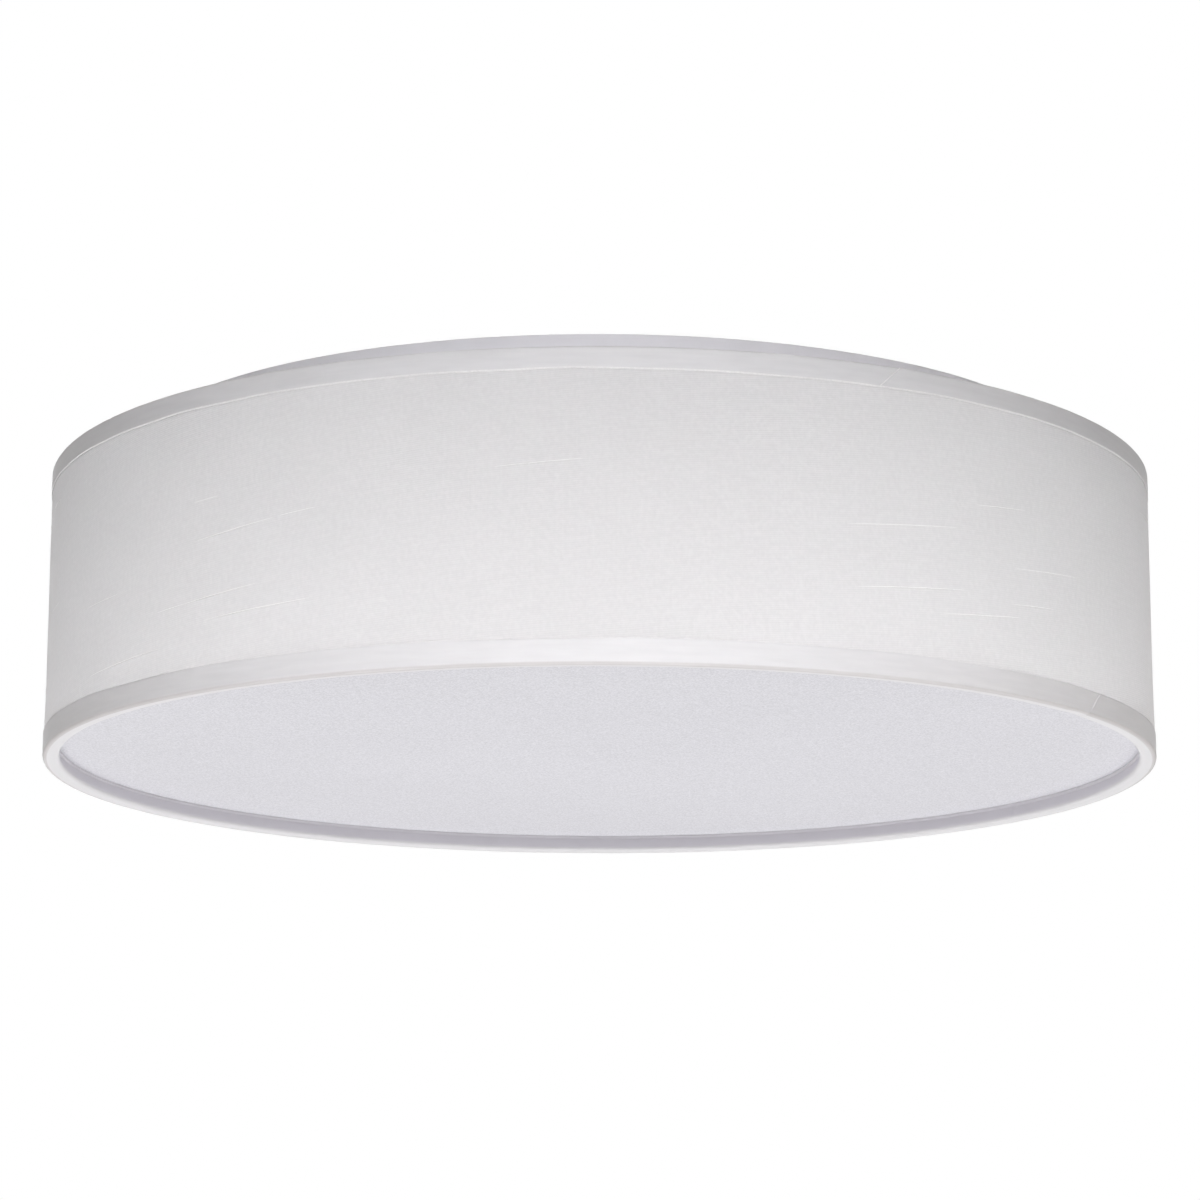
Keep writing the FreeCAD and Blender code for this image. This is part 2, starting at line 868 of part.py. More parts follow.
def terminal_clamp_screws():
    """Clamp screws. The one over a lead is run down on to it, the one on the supply side is open."""
    screws = []
    for x, y, holds_lead in clamp_screw_places():
        tip = lead_z + (supply_lead_radius if holds_lead else sleeve_bore_radius)
        neck = tip + clamp_shank
        shank = upright(clamp_screw_radius, x, y, tip, neck)
        screws.append(shank.fuse(upright(clamp_head_radius, x, y, neck, neck + clamp_head)))
    return group(screws)


def block_screws():
    high = floor_top + block_height
    reach = block_height + pan_sheet
    return group(
        [
            screw(
                block_x + offset,
                block_y,
                high,
                reach,
                small_screw_radius,
                small_head_radius,
                small_head,
                1,
            )
            for offset in block_screw_offsets
        ]
    )


def earth_tag():
    """A crimped ring tag on the pan's floor."""
    low = floor_top
    eye = upright(tag_radius, tag_x, tag_y, low, low + tag_thickness)
    eye = eye.cut(upright(large_screw_radius, tag_x, tag_y, low, low + tag_thickness))
    start = vec(tag_x, tag_y - tag_radius - tag_barrel_length, low + tag_barrel_radius)
    barrel = cylinder(tag_barrel_radius, start, vec(0, tag_barrel_length, 0))
    neck = box(
        tag_x - tag_barrel_radius,
        tag_x + tag_barrel_radius,
        tag_y - tag_radius - tag_barrel_length / 2,
        tag_y - (tag_radius + large_screw_radius) / 2,
        low,
        low + tag_thickness,
    )
    return eye.fuse([barrel, neck]).removeSplitter()


def earth_screw():
    seat = floor_top + tag_thickness
    reach = tag_thickness + pan_sheet + earth_screw_reach
    return screw(tag_x, tag_y, seat, reach, large_screw_radius, large_head_radius, large_head, 1)


def wire_grommet():
    """A rubber grommet in the pan's floor, with a flange on each side."""
    shape = upright(grommet_hole_radius, grommet_x, lead_y, floor_under, floor_top)
    for low, high in ((floor_top, floor_top + grommet_flange), (floor_under - grommet_flange, floor_under)):
        shape = shape.fuse(upright(grommet_flange_radius, grommet_x, lead_y, low, high))
    bore = upright(
        grommet_bore_radius,
        grommet_x,
        lead_y,
        floor_under - grommet_flange,
        floor_top + grommet_flange,
    )
    return shape.cut(bore)


# Leads


def supply_lead(pole, offset, name):
    """From a pole of the terminal block round a bend to the driver's input."""
    x = block_x + pole_offsets[pole]
    y = lead_y + offset
    points = [
        vec(x, block_back - entry_depth - sleeve_bore_depth, lead_z),
        vec(x, y, lead_z),
        vec(-circuit_half, y, lead_z),
    ]
    return lead(points, supply_lead_radius, name)


def output_lead(offset, name):
    """From the driver's output down through the grommet and back to the plug on the light board."""
    x = grommet_x + offset
    y = lead_y + offset
    low = board_under - plug_height / 2
    points = [
        vec(circuit_half, y, lead_z),
        vec(x, y, lead_z),
        vec(x, y, low),
        vec(x, plug_face, low),
    ]
    return lead(points, output_lead_radius, name)


def earth_lead():
    """From the earth pole down to the barrel of the ring tag."""
    end = tag_y - tag_radius - tag_barrel_length
    low = floor_top + tag_barrel_radius
    points = [
        vec(tag_x, block_back - entry_depth - sleeve_bore_depth, lead_z),
        vec(tag_x, block_back + (end - block_back) * drop_start, lead_z),
        vec(tag_x, block_back + (end - block_back) * drop_end, low),
        vec(tag_x, end, low),
    ]
    return lead(points, supply_lead_radius, "earth_lead")


def save(name, shape):
    shape.exportStep(f"parts/{name}.step")
    box_of = shape.BoundBox
    solids = f"{len(shape.Solids)} solid(s), valid {shape.isValid()}, volume {shape.Volume:.1f}"
    print(f"{name}: {solids}, z {box_of.ZMin:.2f} to {box_of.ZMax:.2f}")


def main():
    os.makedirs("parts", exist_ok=True)
    save("ceiling_pan", ceiling_pan())
    for n, angle in enumerate(clip_angles, 1):
        save(f"spring_clip_{n}", spring_clip(angle))
    save("clip_rivets", clip_rivets())
    save("mounting_strap", mounting_strap())
    save("hanger_studs", hanger_studs())
    save("strap_bond_screw", strap_bond_screw())
    for n, x in enumerate(stud_places, 1):
        save(f"stud_washer_{n}", stud_washer(x))
        save(f"thumb_nut_{n}", thumb_nut(x))
    save("led_board", led_board())
    save("led_packages", led_packages())
    save("board_screws", board_screws())
    save("board_plug", board_plug())
    save("driver_case", driver_case())
    save("driver_cover", driver_cover())
    save("driver_circuit_board", driver_circuit())
    save("driver_transformer", driver_transformer())
    save("driver_capacitor", driver_capacitor())
    save("driver_choke", driver_choke())
    save("driver_input_terminal", driver_terminal(-1))
    save("driver_output_terminal", driver_terminal(1))
    save("driver_screws", driver_screws())
    save("terminal_block", terminal_block())
    save("terminal_sleeves", terminal_sleeves())
    save("terminal_clamp_screws", terminal_clamp_screws())
    save("terminal_block_screws", block_screws())
    save("earth_tag", earth_tag())
    save("earth_screw", earth_screw())
    save("wire_grommet", wire_grommet())
    save("line_lead", supply_lead(2, -lead_spacing / 2, "line_lead"))
    save("neutral_lead", supply_lead(1, lead_spacing / 2, "neutral_lead"))
    save("earth_lead", earth_lead())
    save("output_lead_positive", output_lead(-lead_spacing / 2, "output_lead_positive"))
    save("output_lead_negative", output_lead(lead_spacing / 2, "output_lead_negative"))
    save("shade_fabric", shade_fabric())
    save("shade_liner", shade_liner())
    save("top_wire_ring", top_ring())
    save("top_trim", top_trim())
    save("bottom_hoop", bottom_hoop())
    save("bottom_trim", bottom_trim())
    save("fitter_collar", fitter_collar())
    for n, angle in enumerate(arm_angles, 1):
        save(f"fitter_arm_{n}", arm(angle))
    save("diffuser", diffuser())


main()
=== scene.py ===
import json
import math
import random

import bpy
from mathutils import Matrix, Vector


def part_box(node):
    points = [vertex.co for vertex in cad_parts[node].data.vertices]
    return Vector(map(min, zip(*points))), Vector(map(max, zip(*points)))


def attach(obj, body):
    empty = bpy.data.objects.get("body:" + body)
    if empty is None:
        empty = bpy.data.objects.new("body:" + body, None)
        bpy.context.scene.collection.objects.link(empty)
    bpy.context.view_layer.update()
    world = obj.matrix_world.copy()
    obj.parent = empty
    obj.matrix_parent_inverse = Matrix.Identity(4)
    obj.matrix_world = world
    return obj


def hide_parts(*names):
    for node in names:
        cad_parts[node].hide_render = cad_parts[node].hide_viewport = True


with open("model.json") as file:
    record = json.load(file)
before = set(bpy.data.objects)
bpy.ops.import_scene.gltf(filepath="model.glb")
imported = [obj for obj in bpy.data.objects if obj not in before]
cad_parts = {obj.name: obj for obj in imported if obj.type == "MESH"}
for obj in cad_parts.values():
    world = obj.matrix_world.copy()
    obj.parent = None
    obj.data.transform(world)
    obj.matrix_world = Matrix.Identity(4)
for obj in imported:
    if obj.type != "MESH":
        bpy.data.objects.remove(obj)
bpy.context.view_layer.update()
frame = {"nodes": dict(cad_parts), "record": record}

# A flush mount drum ceiling light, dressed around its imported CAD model. Lengths are in metres in the row
# frame, with the ceiling at z = 0, and angles are in degrees from +X towards +Y. The back seam is at +Y.
MM = 0.001

SHADE_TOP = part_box("top_trim")[1].z
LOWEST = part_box("bottom_trim")[0].z
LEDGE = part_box("diffuser")[0].z

FABRIC_RADIUS = 203.05 * MM
OUTER_RADIUS = FABRIC_RADIUS + 0.03 * MM  # outside of the bottom tape, almost flush in the pressed cloth
FABRIC_THICKNESS = 0.45 * MM
FABRIC_LOW, FABRIC_HIGH = (corner.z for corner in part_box("shade_fabric"))
TAPE_THICKNESS = 0.3 * MM
SEAM_LAP = 9.0 * MM
BACK = 90.0
FLARE = 0.27 * MM  # how far the bottom edge of the shade stands out over its hoop

# Bottom rim: its underside slants up a little to the lip, and above the lip the wall slants out to the ledge
BOTTOM_TAPE_OUTER_END = LOWEST + 8.45 * MM
FOLD_ROLL = 1.0 * MM
LIP_RADIUS = 197.4 * MM
LIP_ROLL = 1.6 * MM
LIP_RISE = 0.45 * MM
LEDGE_RADIUS = 199.5 * MM
HOOP_OUTER_RADIUS = 202.0 * MM

# Top rim, where the tape is slit round each arm of the fitter
TOP_TAPE_OUTER_END = SHADE_TOP - 7.6 * MM
TOP_TAPE_INNER_END = SHADE_TOP - 4.9 * MM
TOP_OUTER_RADIUS = FABRIC_RADIUS + 0.25 * MM
TOP_INNER_RADIUS = 198.4 * MM
ARM_ANGLES = (30.0, 150.0, 270.0)
ARM_LEVEL = SHADE_TOP - 3.4 * MM
ARM_SLIT = 2.0 * MM

# Relief of the tapes
TAPE_EDGE_WAVE = 0.28 * MM
TAPE_FACE_WAVE = 0.02 * MM
TAPE_PUCKER = 0.05 * MM
TAPE_LAP = 0.25 * MM

# Stations round the drum
CLOTH_STATIONS = 480
TAPE_STATIONS = 600
HOOP_STATIONS = 360

# Light sources: (radius of a ring, how many are in it)
LIGHT_RINGS = ((107.05 * MM, 28), (119.05 * MM, 34))

# Weave: the weft runs round the drum, and rises a little towards +angle
WEFT_SLANT = 0.075
WEFT_PITCH = 0.71 * MM
WARP_PITCH = 0.55 * MM


# Materials


class Finish:
    """A procedural material, with short calls for its nodes. Texture places are row-frame metres."""

    def __init__(self, name, colour, roughness, metallic=0.0, **sockets):
        self.material = bpy.data.materials.new(name)
        self.material.use_nodes = True
        self.tree = self.material.node_tree
        self.shader = self.tree.nodes["Principled BSDF"]
        self.set("Base Color", (*colour, 1.0))
        self.set("Roughness", roughness)
        self.set("Metallic", metallic)
        for socket, value in sockets.items():
            self.set(socket.replace("_", " "), value)
        self.place = self.node("ShaderNodeTexCoord").outputs["Object"]

    def set(self, socket, value):
        self.shader.inputs[socket].default_value = value

    def node(self, kind, **properties):
        made = self.tree.nodes.new(kind)
        for name, value in properties.items():
            setattr(made, name, value)
        return made

    def put(self, value, socket):
        """Links an output to an input socket, or sets a number or colour there."""
        if isinstance(value, bpy.types.NodeSocket):
            self.tree.links.new(value, socket)
        else:
            socket.default_value = value

    def wire(self, value, socket):
        self.put(value, self.shader.inputs[socket])

    def math(self, operation, a, b=0.0, c=0.0):
        made = self.node("ShaderNodeMath", operation=operation)
        for value, socket in zip((a, b, c), made.inputs):
            self.put(value, socket)
        return made.outputs[0]

    def times(self, a, b):
        return self.math("MULTIPLY", a, b)

    def plus(self, a, b):
        return self.math("ADD", a, b)

    def axes(self):
        made = self.node("ShaderNodeSeparateXYZ")
        self.put(self.place, made.inputs[0])
        return made.outputs

    def from_axis(self):
        """Distance from the drum's axis."""
        x, y, _ = self.axes()
        return self.math("SQRT", self.plus(self.times(x, x), self.times(y, y)))

    def vector(self, x, y, z=0.0):
        made = self.node("ShaderNodeCombineXYZ")
        for value, socket in zip((x, y, z), made.inputs):
            self.put(value, socket)
        return made.outputs[0]

    def scaled(self, x, y, z):
        """The place with each axis times a number, for streaks."""
        made = self.node("ShaderNodeVectorMath", operation="MULTIPLY")
        self.put(self.place, made.inputs[0])
        made.inputs[1].default_value = (x, y, z)
        return made.outputs[0]

    def noise(self, scale, detail=2.0, place=None, roughness=0.5):
        made = self.node("ShaderNodeTexNoise")
        self.put(self.place if place is None else place, made.inputs["Vector"])
        made.inputs["Scale"].default_value = scale
        made.inputs["Detail"].default_value = detail
        made.inputs["Roughness"].default_value = roughness
        return made.outputs["Fac"]

    def streaks(self, u, per_u, v, per_v, detail=2.0, layer=0.0):
        """Noise over two lengths, each with its own number of changes per metre."""
        return self.noise(1.0, detail, self.vector(self.times(u, per_u), self.times(v, per_v), layer))

    def cells(self, scale, feature="F1"):
        made = self.node("ShaderNodeTexVoronoi", feature=feature)
        self.put(self.place, made.inputs["Vector"])
        made.inputs["Scale"].default_value = scale
        return made.outputs["Distance"]

    def span(self, value, low, high, to_low, to_high, smooth=False):
        made = self.node("ShaderNodeMapRange", interpolation_type="SMOOTHSTEP" if smooth else "LINEAR")
        for given, socket in zip((value, low, high, to_low, to_high), made.inputs):
            self.put(given, socket)
        return made.outputs[0]

    def blend(self, share, first, second):
        """One colour turning into the other as share goes from 0 to 1."""
        made = self.node("ShaderNodeMix", data_type="RGBA")
        self.put(share, made.inputs["Factor"])
        for value, name in ((first, "A"), (second, "B")):
            socket = next(s for s in made.inputs if s.name == name and s.type == "RGBA")
            self.put(value if isinstance(value, bpy.types.NodeSocket) else (*value, 1.0), socket)
        return next(s for s in made.outputs if s.type == "RGBA")

    def relief(self, height, depth, after=None):
        """A bump of that depth in metres, on top of an earlier one."""
        made = self.node("ShaderNodeBump")
        made.inputs["Strength"].default_value = 1.0
        made.inputs["Distance"].default_value = depth
        self.put(height, made.inputs["Height"])
        if after is not None:
            self.put(after, made.inputs["Normal"])
        return made.outputs[0]

    def around(self):
        """(distance round the drum from its front, level), both in metres."""
        x, y, z = self.axes()
        return self.times(self.math("ARCTAN2", x, self.times(y, -1.0)), FABRIC_RADIUS), z

    def wave(self, value, pitch, phase=0.0):
        """A sine of that pitch, from 0 to 1."""
        turned = self.math("MULTIPLY_ADD", value, 2 * math.pi / pitch, phase)
        return self.math("MULTIPLY_ADD", self.math("SINE", turned), 0.5, 0.5)


def shades(colour, darker, lighter):
    """Two colours around one, as shares of it."""
    return tuple(c * darker for c in colour), tuple(min(1.0, c * lighter) for c in colour)


def speckled(finish, colour, scale, darker, lighter, detail=3.0):
    grain = finish.span(finish.noise(scale, detail), 0.35, 0.65, 0.0, 1.0)
    finish.wire(finish.blend(grain, *shades(colour, darker, lighter)), "Base Color")


def varied_roughness(finish, scale, low, high):
    finish.wire(finish.span(finish.noise(scale, 3.0), 0.35, 0.65, low, high), "Roughness")


def powder_coat(name, colour, roughness=0.42):
    """Sprayed and baked powder: a fine orange peel with a few dust nibs."""
    f = Finish(name, colour, roughness, Specular_IOR_Level=0.3)
    speckled(f, colour, 90.0, 0.985, 1.01)
    varied_roughness(f, 450.0, roughness - 0.05, roughness + 0.06)
    peel = f.relief(f.noise(700.0, 2.0), 0.035 * MM)
    nibs = f.span(f.cells(110.0), 0.0, 0.045, 1.0, 0.0, smooth=True)
    f.wire(f.relief(nibs, 0.02 * MM, peel), "Normal")
    return f.material


def plated_steel(name, colour, roughness=0.34):
    """Zinc on pressed steel: fine drawing lines, clouded plating and small scuffs."""
    f = Finish(name, colour, roughness, 1.0)
    cloud = f.plus(f.noise(160.0, 4.0), f.times(f.noise(1400.0, 2.0), 0.35))
    f.wire(f.blend(f.span(cloud, 0.45, 0.9, 0.0, 1.0), *shades(colour, 0.82, 1.1)), "Base Color")
    lines = f.noise(1.0, 3.0, f.scaled(60.0, 4200.0, 4200.0))
    f.wire(f.span(lines, 0.3, 0.7, roughness - 0.08, roughness + 0.12), "Roughness")
    f.wire(f.relief(lines, 0.012 * MM), "Normal")
    return f.material


def spring_steel(name):
    """Hardened strip: straw to grey temper colour, and the grain of rolling along the leaf."""
    f = Finish(name, (0.33, 0.315, 0.30), 0.3, 1.0)
    temper = f.span(f.noise(130.0, 2.0), 0.35, 0.65, 0.0, 1.0, smooth=True)
    f.wire(f.blend(temper, (0.27, 0.27, 0.285), (0.42, 0.385, 0.335)), "Base Color")
    grain = f.noise(1.0, 3.0, f.scaled(5200.0, 5200.0, 90.0))
    f.wire(f.span(grain, 0.3, 0.7, 0.22, 0.4), "Roughness")
    f.wire(f.relief(grain, 0.01 * MM), "Normal")
    return f.material


def turned_metal(name, colour, worn, roughness):
    """Plating on turned brass, with tool rings and spots where the plating has gone dull or thin."""
    f = Finish(name, colour, roughness, 1.0)
    thin = f.span(f.noise(420.0, 5.0), 0.58, 0.72, 0.0, 0.55, smooth=True)
    f.wire(f.blend(thin, colour, worn), "Base Color")
    rings = f.noise(1.0, 2.0, f.scaled(300.0, 300.0, 9000.0))
    f.wire(f.span(rings, 0.3, 0.7, roughness - 0.05, roughness + 0.12), "Roughness")
    f.wire(f.relief(rings, 0.008 * MM), "Normal")
    return f.material


def moulded(name, colour, roughness=0.5, grain=0.03, scale=1500.0):
    """Moulded plastic: a spark-eroded grain (its depth in mm) and faint flow shades."""
    f = Finish(name, colour, roughness)
    speckled(f, colour, 60.0, 0.97, 1.02, 2.0)
    varied_roughness(f, 900.0, roughness - 0.06, roughness + 0.07)
    f.wire(f.relief(f.noise(scale, 3.0, roughness=0.65), grain * MM), "Normal")
    return f.material


def insulation(name, colour):
    """Extruded insulation: nearly smooth, with faint lengthwise drag and handling dust."""
    f = Finish(name, colour, 0.38, Coat_Weight=0.05)
    speckled(f, colour, 240.0, 0.9, 1.08)
    varied_roughness(f, 600.0, 0.3, 0.5)
    f.wire(f.relief(f.noise(1900.0, 2.0), 0.012 * MM), "Normal")
    return f.material


def laminate(name):
    """Circuit laminate: a glass weave under green solder mask."""
    f = Finish(name, (0.045, 0.20, 0.075), 0.3, Coat_Weight=0.3)
    x, y, _ = f.axes()
    weave = f.times(f.wave(x, 0.9 * MM), f.wave(y, 0.9 * MM))
    f.wire(f.blend(weave, (0.035, 0.16, 0.06), (0.06, 0.25, 0.10)), "Base Color")
    tracks = f.span(f.cells(260.0, feature="DISTANCE_TO_EDGE"), 0.04, 0.07, 1.0, 0.0, smooth=True)
    f.wire(f.relief(tracks, 0.03 * MM), "Normal")
    return f.material


def light_board(name):
    """White solder mask on an aluminium board, with the copper of its two circuits showing as low relief."""
    f = Finish(name, (0.82, 0.82, 0.80), 0.32, Coat_Weight=0.25)
    x, y, _ = f.axes()
    turn = f.math("ARCTAN2", y, x)
    copper = 0.0
    for middle, count in LIGHT_RINGS:
        off = f.math("ABSOLUTE", f.math("SUBTRACT", f.from_axis(), middle))
        band = f.span(off, 3.6 * MM, 3.9 * MM, 1.0, 0.0, smooth=True)
        gap = f.math("ABSOLUTE", f.math("SINE", f.times(turn, count / 2)))
        pad = f.times(band, f.span(gap, 0.05, 0.09, 0.0, 1.0, smooth=True))
        copper = f.math("MAXIMUM", copper, pad)
    dust = f.span(f.noise(70.0, 4.0), 0.35, 0.65, 0.0, 1.0)
    mask = f.blend(copper, (0.76, 0.765, 0.75), (0.83, 0.825, 0.80))
    f.wire(f.blend(f.times(dust, 0.12), mask, (0.70, 0.695, 0.67)), "Base Color")
    varied_roughness(f, 800.0, 0.26, 0.4)
    peel = f.relief(f.noise(1300.0, 2.0), 0.012 * MM)
    f.wire(f.relief(copper, 0.06 * MM, peel), "Normal")
    return f.material


def wound_tape(name):
    """Yellow polyester tape wound round the transformer, in turns 3 mm apart."""
    f = Finish(name, (0.80, 0.58, 0.08), 0.25, Coat_Weight=0.2)
    _, _, z = f.axes()
    turns = f.wave(z, 3.0 * MM)
    f.wire(f.blend(turns, (0.68, 0.46, 0.05), (0.85, 0.64, 0.11)), "Base Color")
    f.wire(f.relief(f.noise(500.0, 2.0), 0.04 * MM), "Normal")
    return f.material


def opal_acrylic(name):
    """Cast opal sheet with a fine frosted face."""
    base = (0.672, 0.666, 0.692)
    f = Finish(name, base, 0.62, Specular_IOR_Level=0.35)
    fine = f.noise(1500.0, 3.0, roughness=0.75)
    broad = f.span(f.noise(9.0, 2.0), 0.3, 0.7, -0.03, 0.03)
    grain = f.plus(f.span(fine, 0.34, 0.66, 0.0, 1.0), broad)
    f.wire(f.blend(grain, *shades(base, 0.82, 1.17)), "Base Color")
    f.wire(f.span(fine, 0.3, 0.7, 0.55, 0.7), "Roughness")
    f.wire(f.relief(fine, 0.03 * MM), "Normal")
    return f.material


def styrene(name):
    """Stiff white sheet of the liner: calendered, with long faint ripples and tiny specks."""
    base = (0.83, 0.825, 0.815)
    f = Finish(name, base, 0.48)
    u, level = f.around()
    ripple = f.streaks(u, 26.0, level, 8.0)
    f.wire(f.blend(f.span(ripple, 0.35, 0.65, 0.0, 1.0), *shades(base, 0.97, 1.02)), "Base Color")
    varied_roughness(f, 700.0, 0.42, 0.55)
    calender = f.relief(f.noise(1800.0, 2.0), 0.015 * MM)
    f.wire(f.relief(ripple, 0.12 * MM, calender), "Normal")
    return f.material


MATT_CLOTH = dict(Specular_IOR_Level=0.2, Diffuse_Roughness=1.0, Sheen_Roughness=0.5)


def linen(name):
    """Linen-look cloth: a plain weave whose weft is the coarser, with uneven threads and lighter streaks."""
    base = (0.803, 0.791, 0.790)
    f = Finish(name, base, 0.88, **MATT_CLOTH, Sheen_Weight=0.22)
    u, level = f.around()
    wander = f.span(f.streaks(u, 9.0, level, 1.0), 0.3, 0.7, -0.6, 0.6)
    v = f.math("MULTIPLY_ADD", wander, MM, f.math("SUBTRACT", level, f.times(u, WEFT_SLANT)))
    weft = f.wave(v, WEFT_PITCH)
    warp = f.wave(u, WARP_PITCH)
    over = f.times(f.wave(v, 2 * WEFT_PITCH), f.wave(u, 2 * WARP_PITCH))
    threads = f.plus(f.plus(f.times(weft, 0.48), f.times(warp, 0.08)), f.times(over, 0.05))
    rows = f.streaks(u, 75.0, v, 1150.0)
    columns = f.streaks(u, 1300.0, v, 40.0, layer=3.0)
    mottle = f.noise(700.0, 2.0)
    uneven = threads
    for pattern, share in ((rows, 0.3), (columns, 0.12), (mottle, 0.6)):
        uneven = f.math("MULTIPLY_ADD", f.span(pattern, 0.3, 0.7, -0.5, 0.5), share, uneven)
    f.wire(f.blend(f.span(uneven, -0.1, 1.1, 0.0, 1.0), *shades(base, 0.94, 1.03)), "Base Color")
    f.wire(f.relief(uneven, 0.055 * MM), "Normal")
    return f.material


def slub_thread(name):
    """The thick soft places of the same thread, whiter than the cloth: partly the thread's own tone, partly a painted
    highlight along the raised thread.
    """
    base = (0.93, 0.925, 0.92)
    f = Finish(name, base, 0.9, **MATT_CLOTH, Sheen_Weight=0.4)
    speckled(f, base, 1600.0, 0.975, 1.01)
    f.wire(f.relief(f.noise(1.0, 3.0, f.scaled(900.0, 900.0, 3600.0)), 0.02 * MM), "Normal")
    return f.material


def satin_tape(name):
    """Woven satin binding tape: fine lengthwise ribs and a soft gloss. On the bottom tape it is lighter, as painted
    light, on the wall inside the rim, and greyer, as painted shade, along the outer fold."""
    base = (0.756, 0.745, 0.749)
    f = Finish(name, base, 0.5, Specular_IOR_Level=0.14)
    u, level = f.around()
    radius = f.from_axis()
    across = f.math("SUBTRACT", level, radius)
    shade = f.streaks(u, 60.0, across, 500.0, 3.0)
    cloth = f.blend(f.span(shade, 0.3, 0.7, 0.0, 1.0), *shades(base, 0.965, 1.012))
    # Painted light: the bottom tape is lighter on its wall inside the rim, above the lip roll.
    bottom = f.span(level, LOWEST + 47.4 * MM, LOWEST + 57.4 * MM, 1.0, 0.0)
    inside = f.span(radius, LEDGE_RADIUS + 0.6 * MM, LEDGE_RADIUS + 0.9 * MM, 1.0, 0.0)
    on_wall = f.span(level, LOWEST + 0.9 * MM, LOWEST + 1.9 * MM, 0.0, 1.0, smooth=True)
    cloth = f.blend(f.times(f.times(bottom, inside), on_wall), cloth, (0.81, 0.79, 0.825))
    # Painted shade: greyer along the lowest part of the bottom tape's outer fold.
    lowest = f.span(level, LOWEST + 0.3 * MM, LOWEST + 1.1 * MM, 1.0, 0.0, smooth=True)
    outermost = f.span(radius, OUTER_RADIUS - 1.15 * MM, OUTER_RADIUS - 0.75 * MM, 0.0, 1.0)
    f.wire(f.blend(f.times(lowest, outermost), cloth, (0.60, 0.577, 0.57)), "Base Color")
    f.wire(f.span(shade, 0.3, 0.7, 0.40, 0.52), "Roughness")
    soft = f.relief(f.streaks(u, 120.0, across, 260.0), 0.05 * MM)
    fine = f.plus(f.times(f.wave(across, 0.32 * MM), 0.5), f.times(f.wave(u, 0.28 * MM), 0.3))
    f.wire(f.relief(fine, 0.02 * MM, soft), "Normal")
    return f.material


def selvedge_thread(name):
    """The tape's woven edge, whiter and rougher than its face."""
    base = (0.875, 0.865, 0.86)
    f = Finish(name, base, 0.9, **MATT_CLOTH, Sheen_Weight=0.4)
    speckled(f, base, 1500.0, 0.95, 1.02)
    f.wire(f.relief(f.noise(2200.0, 2.0), 0.02 * MM), "Normal")
    return f.material


def slub_underside_shade(name):
    """Painted shadow on the underside of a thick thread, darker than the cloth."""
    base = (0.735, 0.715, 0.705)
    f = Finish(name, base, 0.9, Specular_IOR_Level=0.1)
    speckled(f, base, 1300.0, 0.9, 1.1)
    f.wire(f.relief(f.noise(2400.0, 2.0), 0.02 * MM), "Normal")
    return f.material


def phosphor_gel(name):
    """Silicone over phosphor powder: a wet surface over settled grains."""
    base = (0.86, 0.68, 0.12)
    f = Finish(name, base, 0.22, Coat_Weight=0.4)
    speckled(f, base, 5200.0, 0.88, 1.06)
    f.wire(f.relief(f.noise(2500.0, 2.0), 0.01 * MM), "Normal")
    return f.material


WHITE_COAT = (0.775, 0.76, 0.789)

SLOT_FINISHES = {
    "white_powder_coat": powder_coat("white_powder_coat", WHITE_COAT),
    "spring_steel": spring_steel("spring_steel"),
    "zinc_steel": plated_steel("zinc_steel", (0.60, 0.61, 0.63)),
    "green_zinc": plated_steel("green_zinc", (0.07, 0.27, 0.10), 0.3),
    "nickel_brass": turned_metal("nickel_brass", (0.70, 0.67, 0.61), (0.72, 0.55, 0.31), 0.22),
    "white_board": light_board("white_board"),
    "white_nylon": moulded("white_nylon", (0.80, 0.79, 0.755), 0.45, 0.02),
    "driver_plastic": moulded("driver_plastic", (0.79, 0.79, 0.78), 0.55, 0.05, 1100.0),
    "circuit_laminate": laminate("circuit_laminate"),
    "winding_tape": wound_tape("winding_tape"),
    "capacitor_sleeve": moulded("capacitor_sleeve", (0.03, 0.045, 0.10), 0.3, 0.01),
    "ferrite": moulded("ferrite", (0.045, 0.043, 0.042), 0.6, 0.06, 1300.0),
    "terminal_brass": turned_metal("terminal_brass", (0.74, 0.56, 0.28), (0.55, 0.38, 0.18), 0.28),
    "tinned_copper": turned_metal("tinned_copper", (0.72, 0.71, 0.70), (0.72, 0.50, 0.36), 0.3),
    "black_rubber": moulded("black_rubber", (0.022, 0.022, 0.023), 0.7, 0.05, 1200.0),
    "black_insulation": insulation("black_insulation", (0.018, 0.018, 0.02)),
    "white_insulation": insulation("white_insulation", (0.78, 0.78, 0.76)),
    "green_insulation": insulation("green_insulation", (0.03, 0.24, 0.06)),
    "red_insulation": insulation("red_insulation", (0.48, 0.03, 0.025)),
    "white_styrene": styrene("white_styrene"),
    "white_wire": powder_coat("white_wire", (0.79, 0.785, 0.79), 0.36),
    "white_hoop": moulded("white_hoop", (0.80, 0.795, 0.79), 0.45, 0.03),
    "opal_acrylic": opal_acrylic("opal_acrylic"),
}

for subpart in frame["record"]["subparts"]:
    finish = SLOT_FINISHES.get(subpart["material_slot"])
    if finish:
        mesh = frame["nodes"][subpart["node"]].data
        mesh.materials.clear()
        mesh.materials.append(finish)


# Mesh helpers


def at(radius, angle, level):
    return Vector((radius * math.cos(math.radians(angle)), radius * math.sin(math.radians(angle)), level))


def smooth(t):
    t = min(1.0, max(0.0, t))
    return t * t * (3 - 2 * t)


def turn_from(place, angle):
    """The turn from a place to an angle, from -180 to 180 degrees."""
    return (angle - place + 180) % 360 - 180


def ring_faces(rings, per):
    """Faces between closed sections of the same number of points, the last of which joins the first."""
    faces = []
    for n in range(rings):
        a, b = n * per, (n + 1) % rings * per
        for k in range(per):
            faces.append((a + k, a + (k + 1) % per, b + (k + 1) % per, b + k))
    return faces


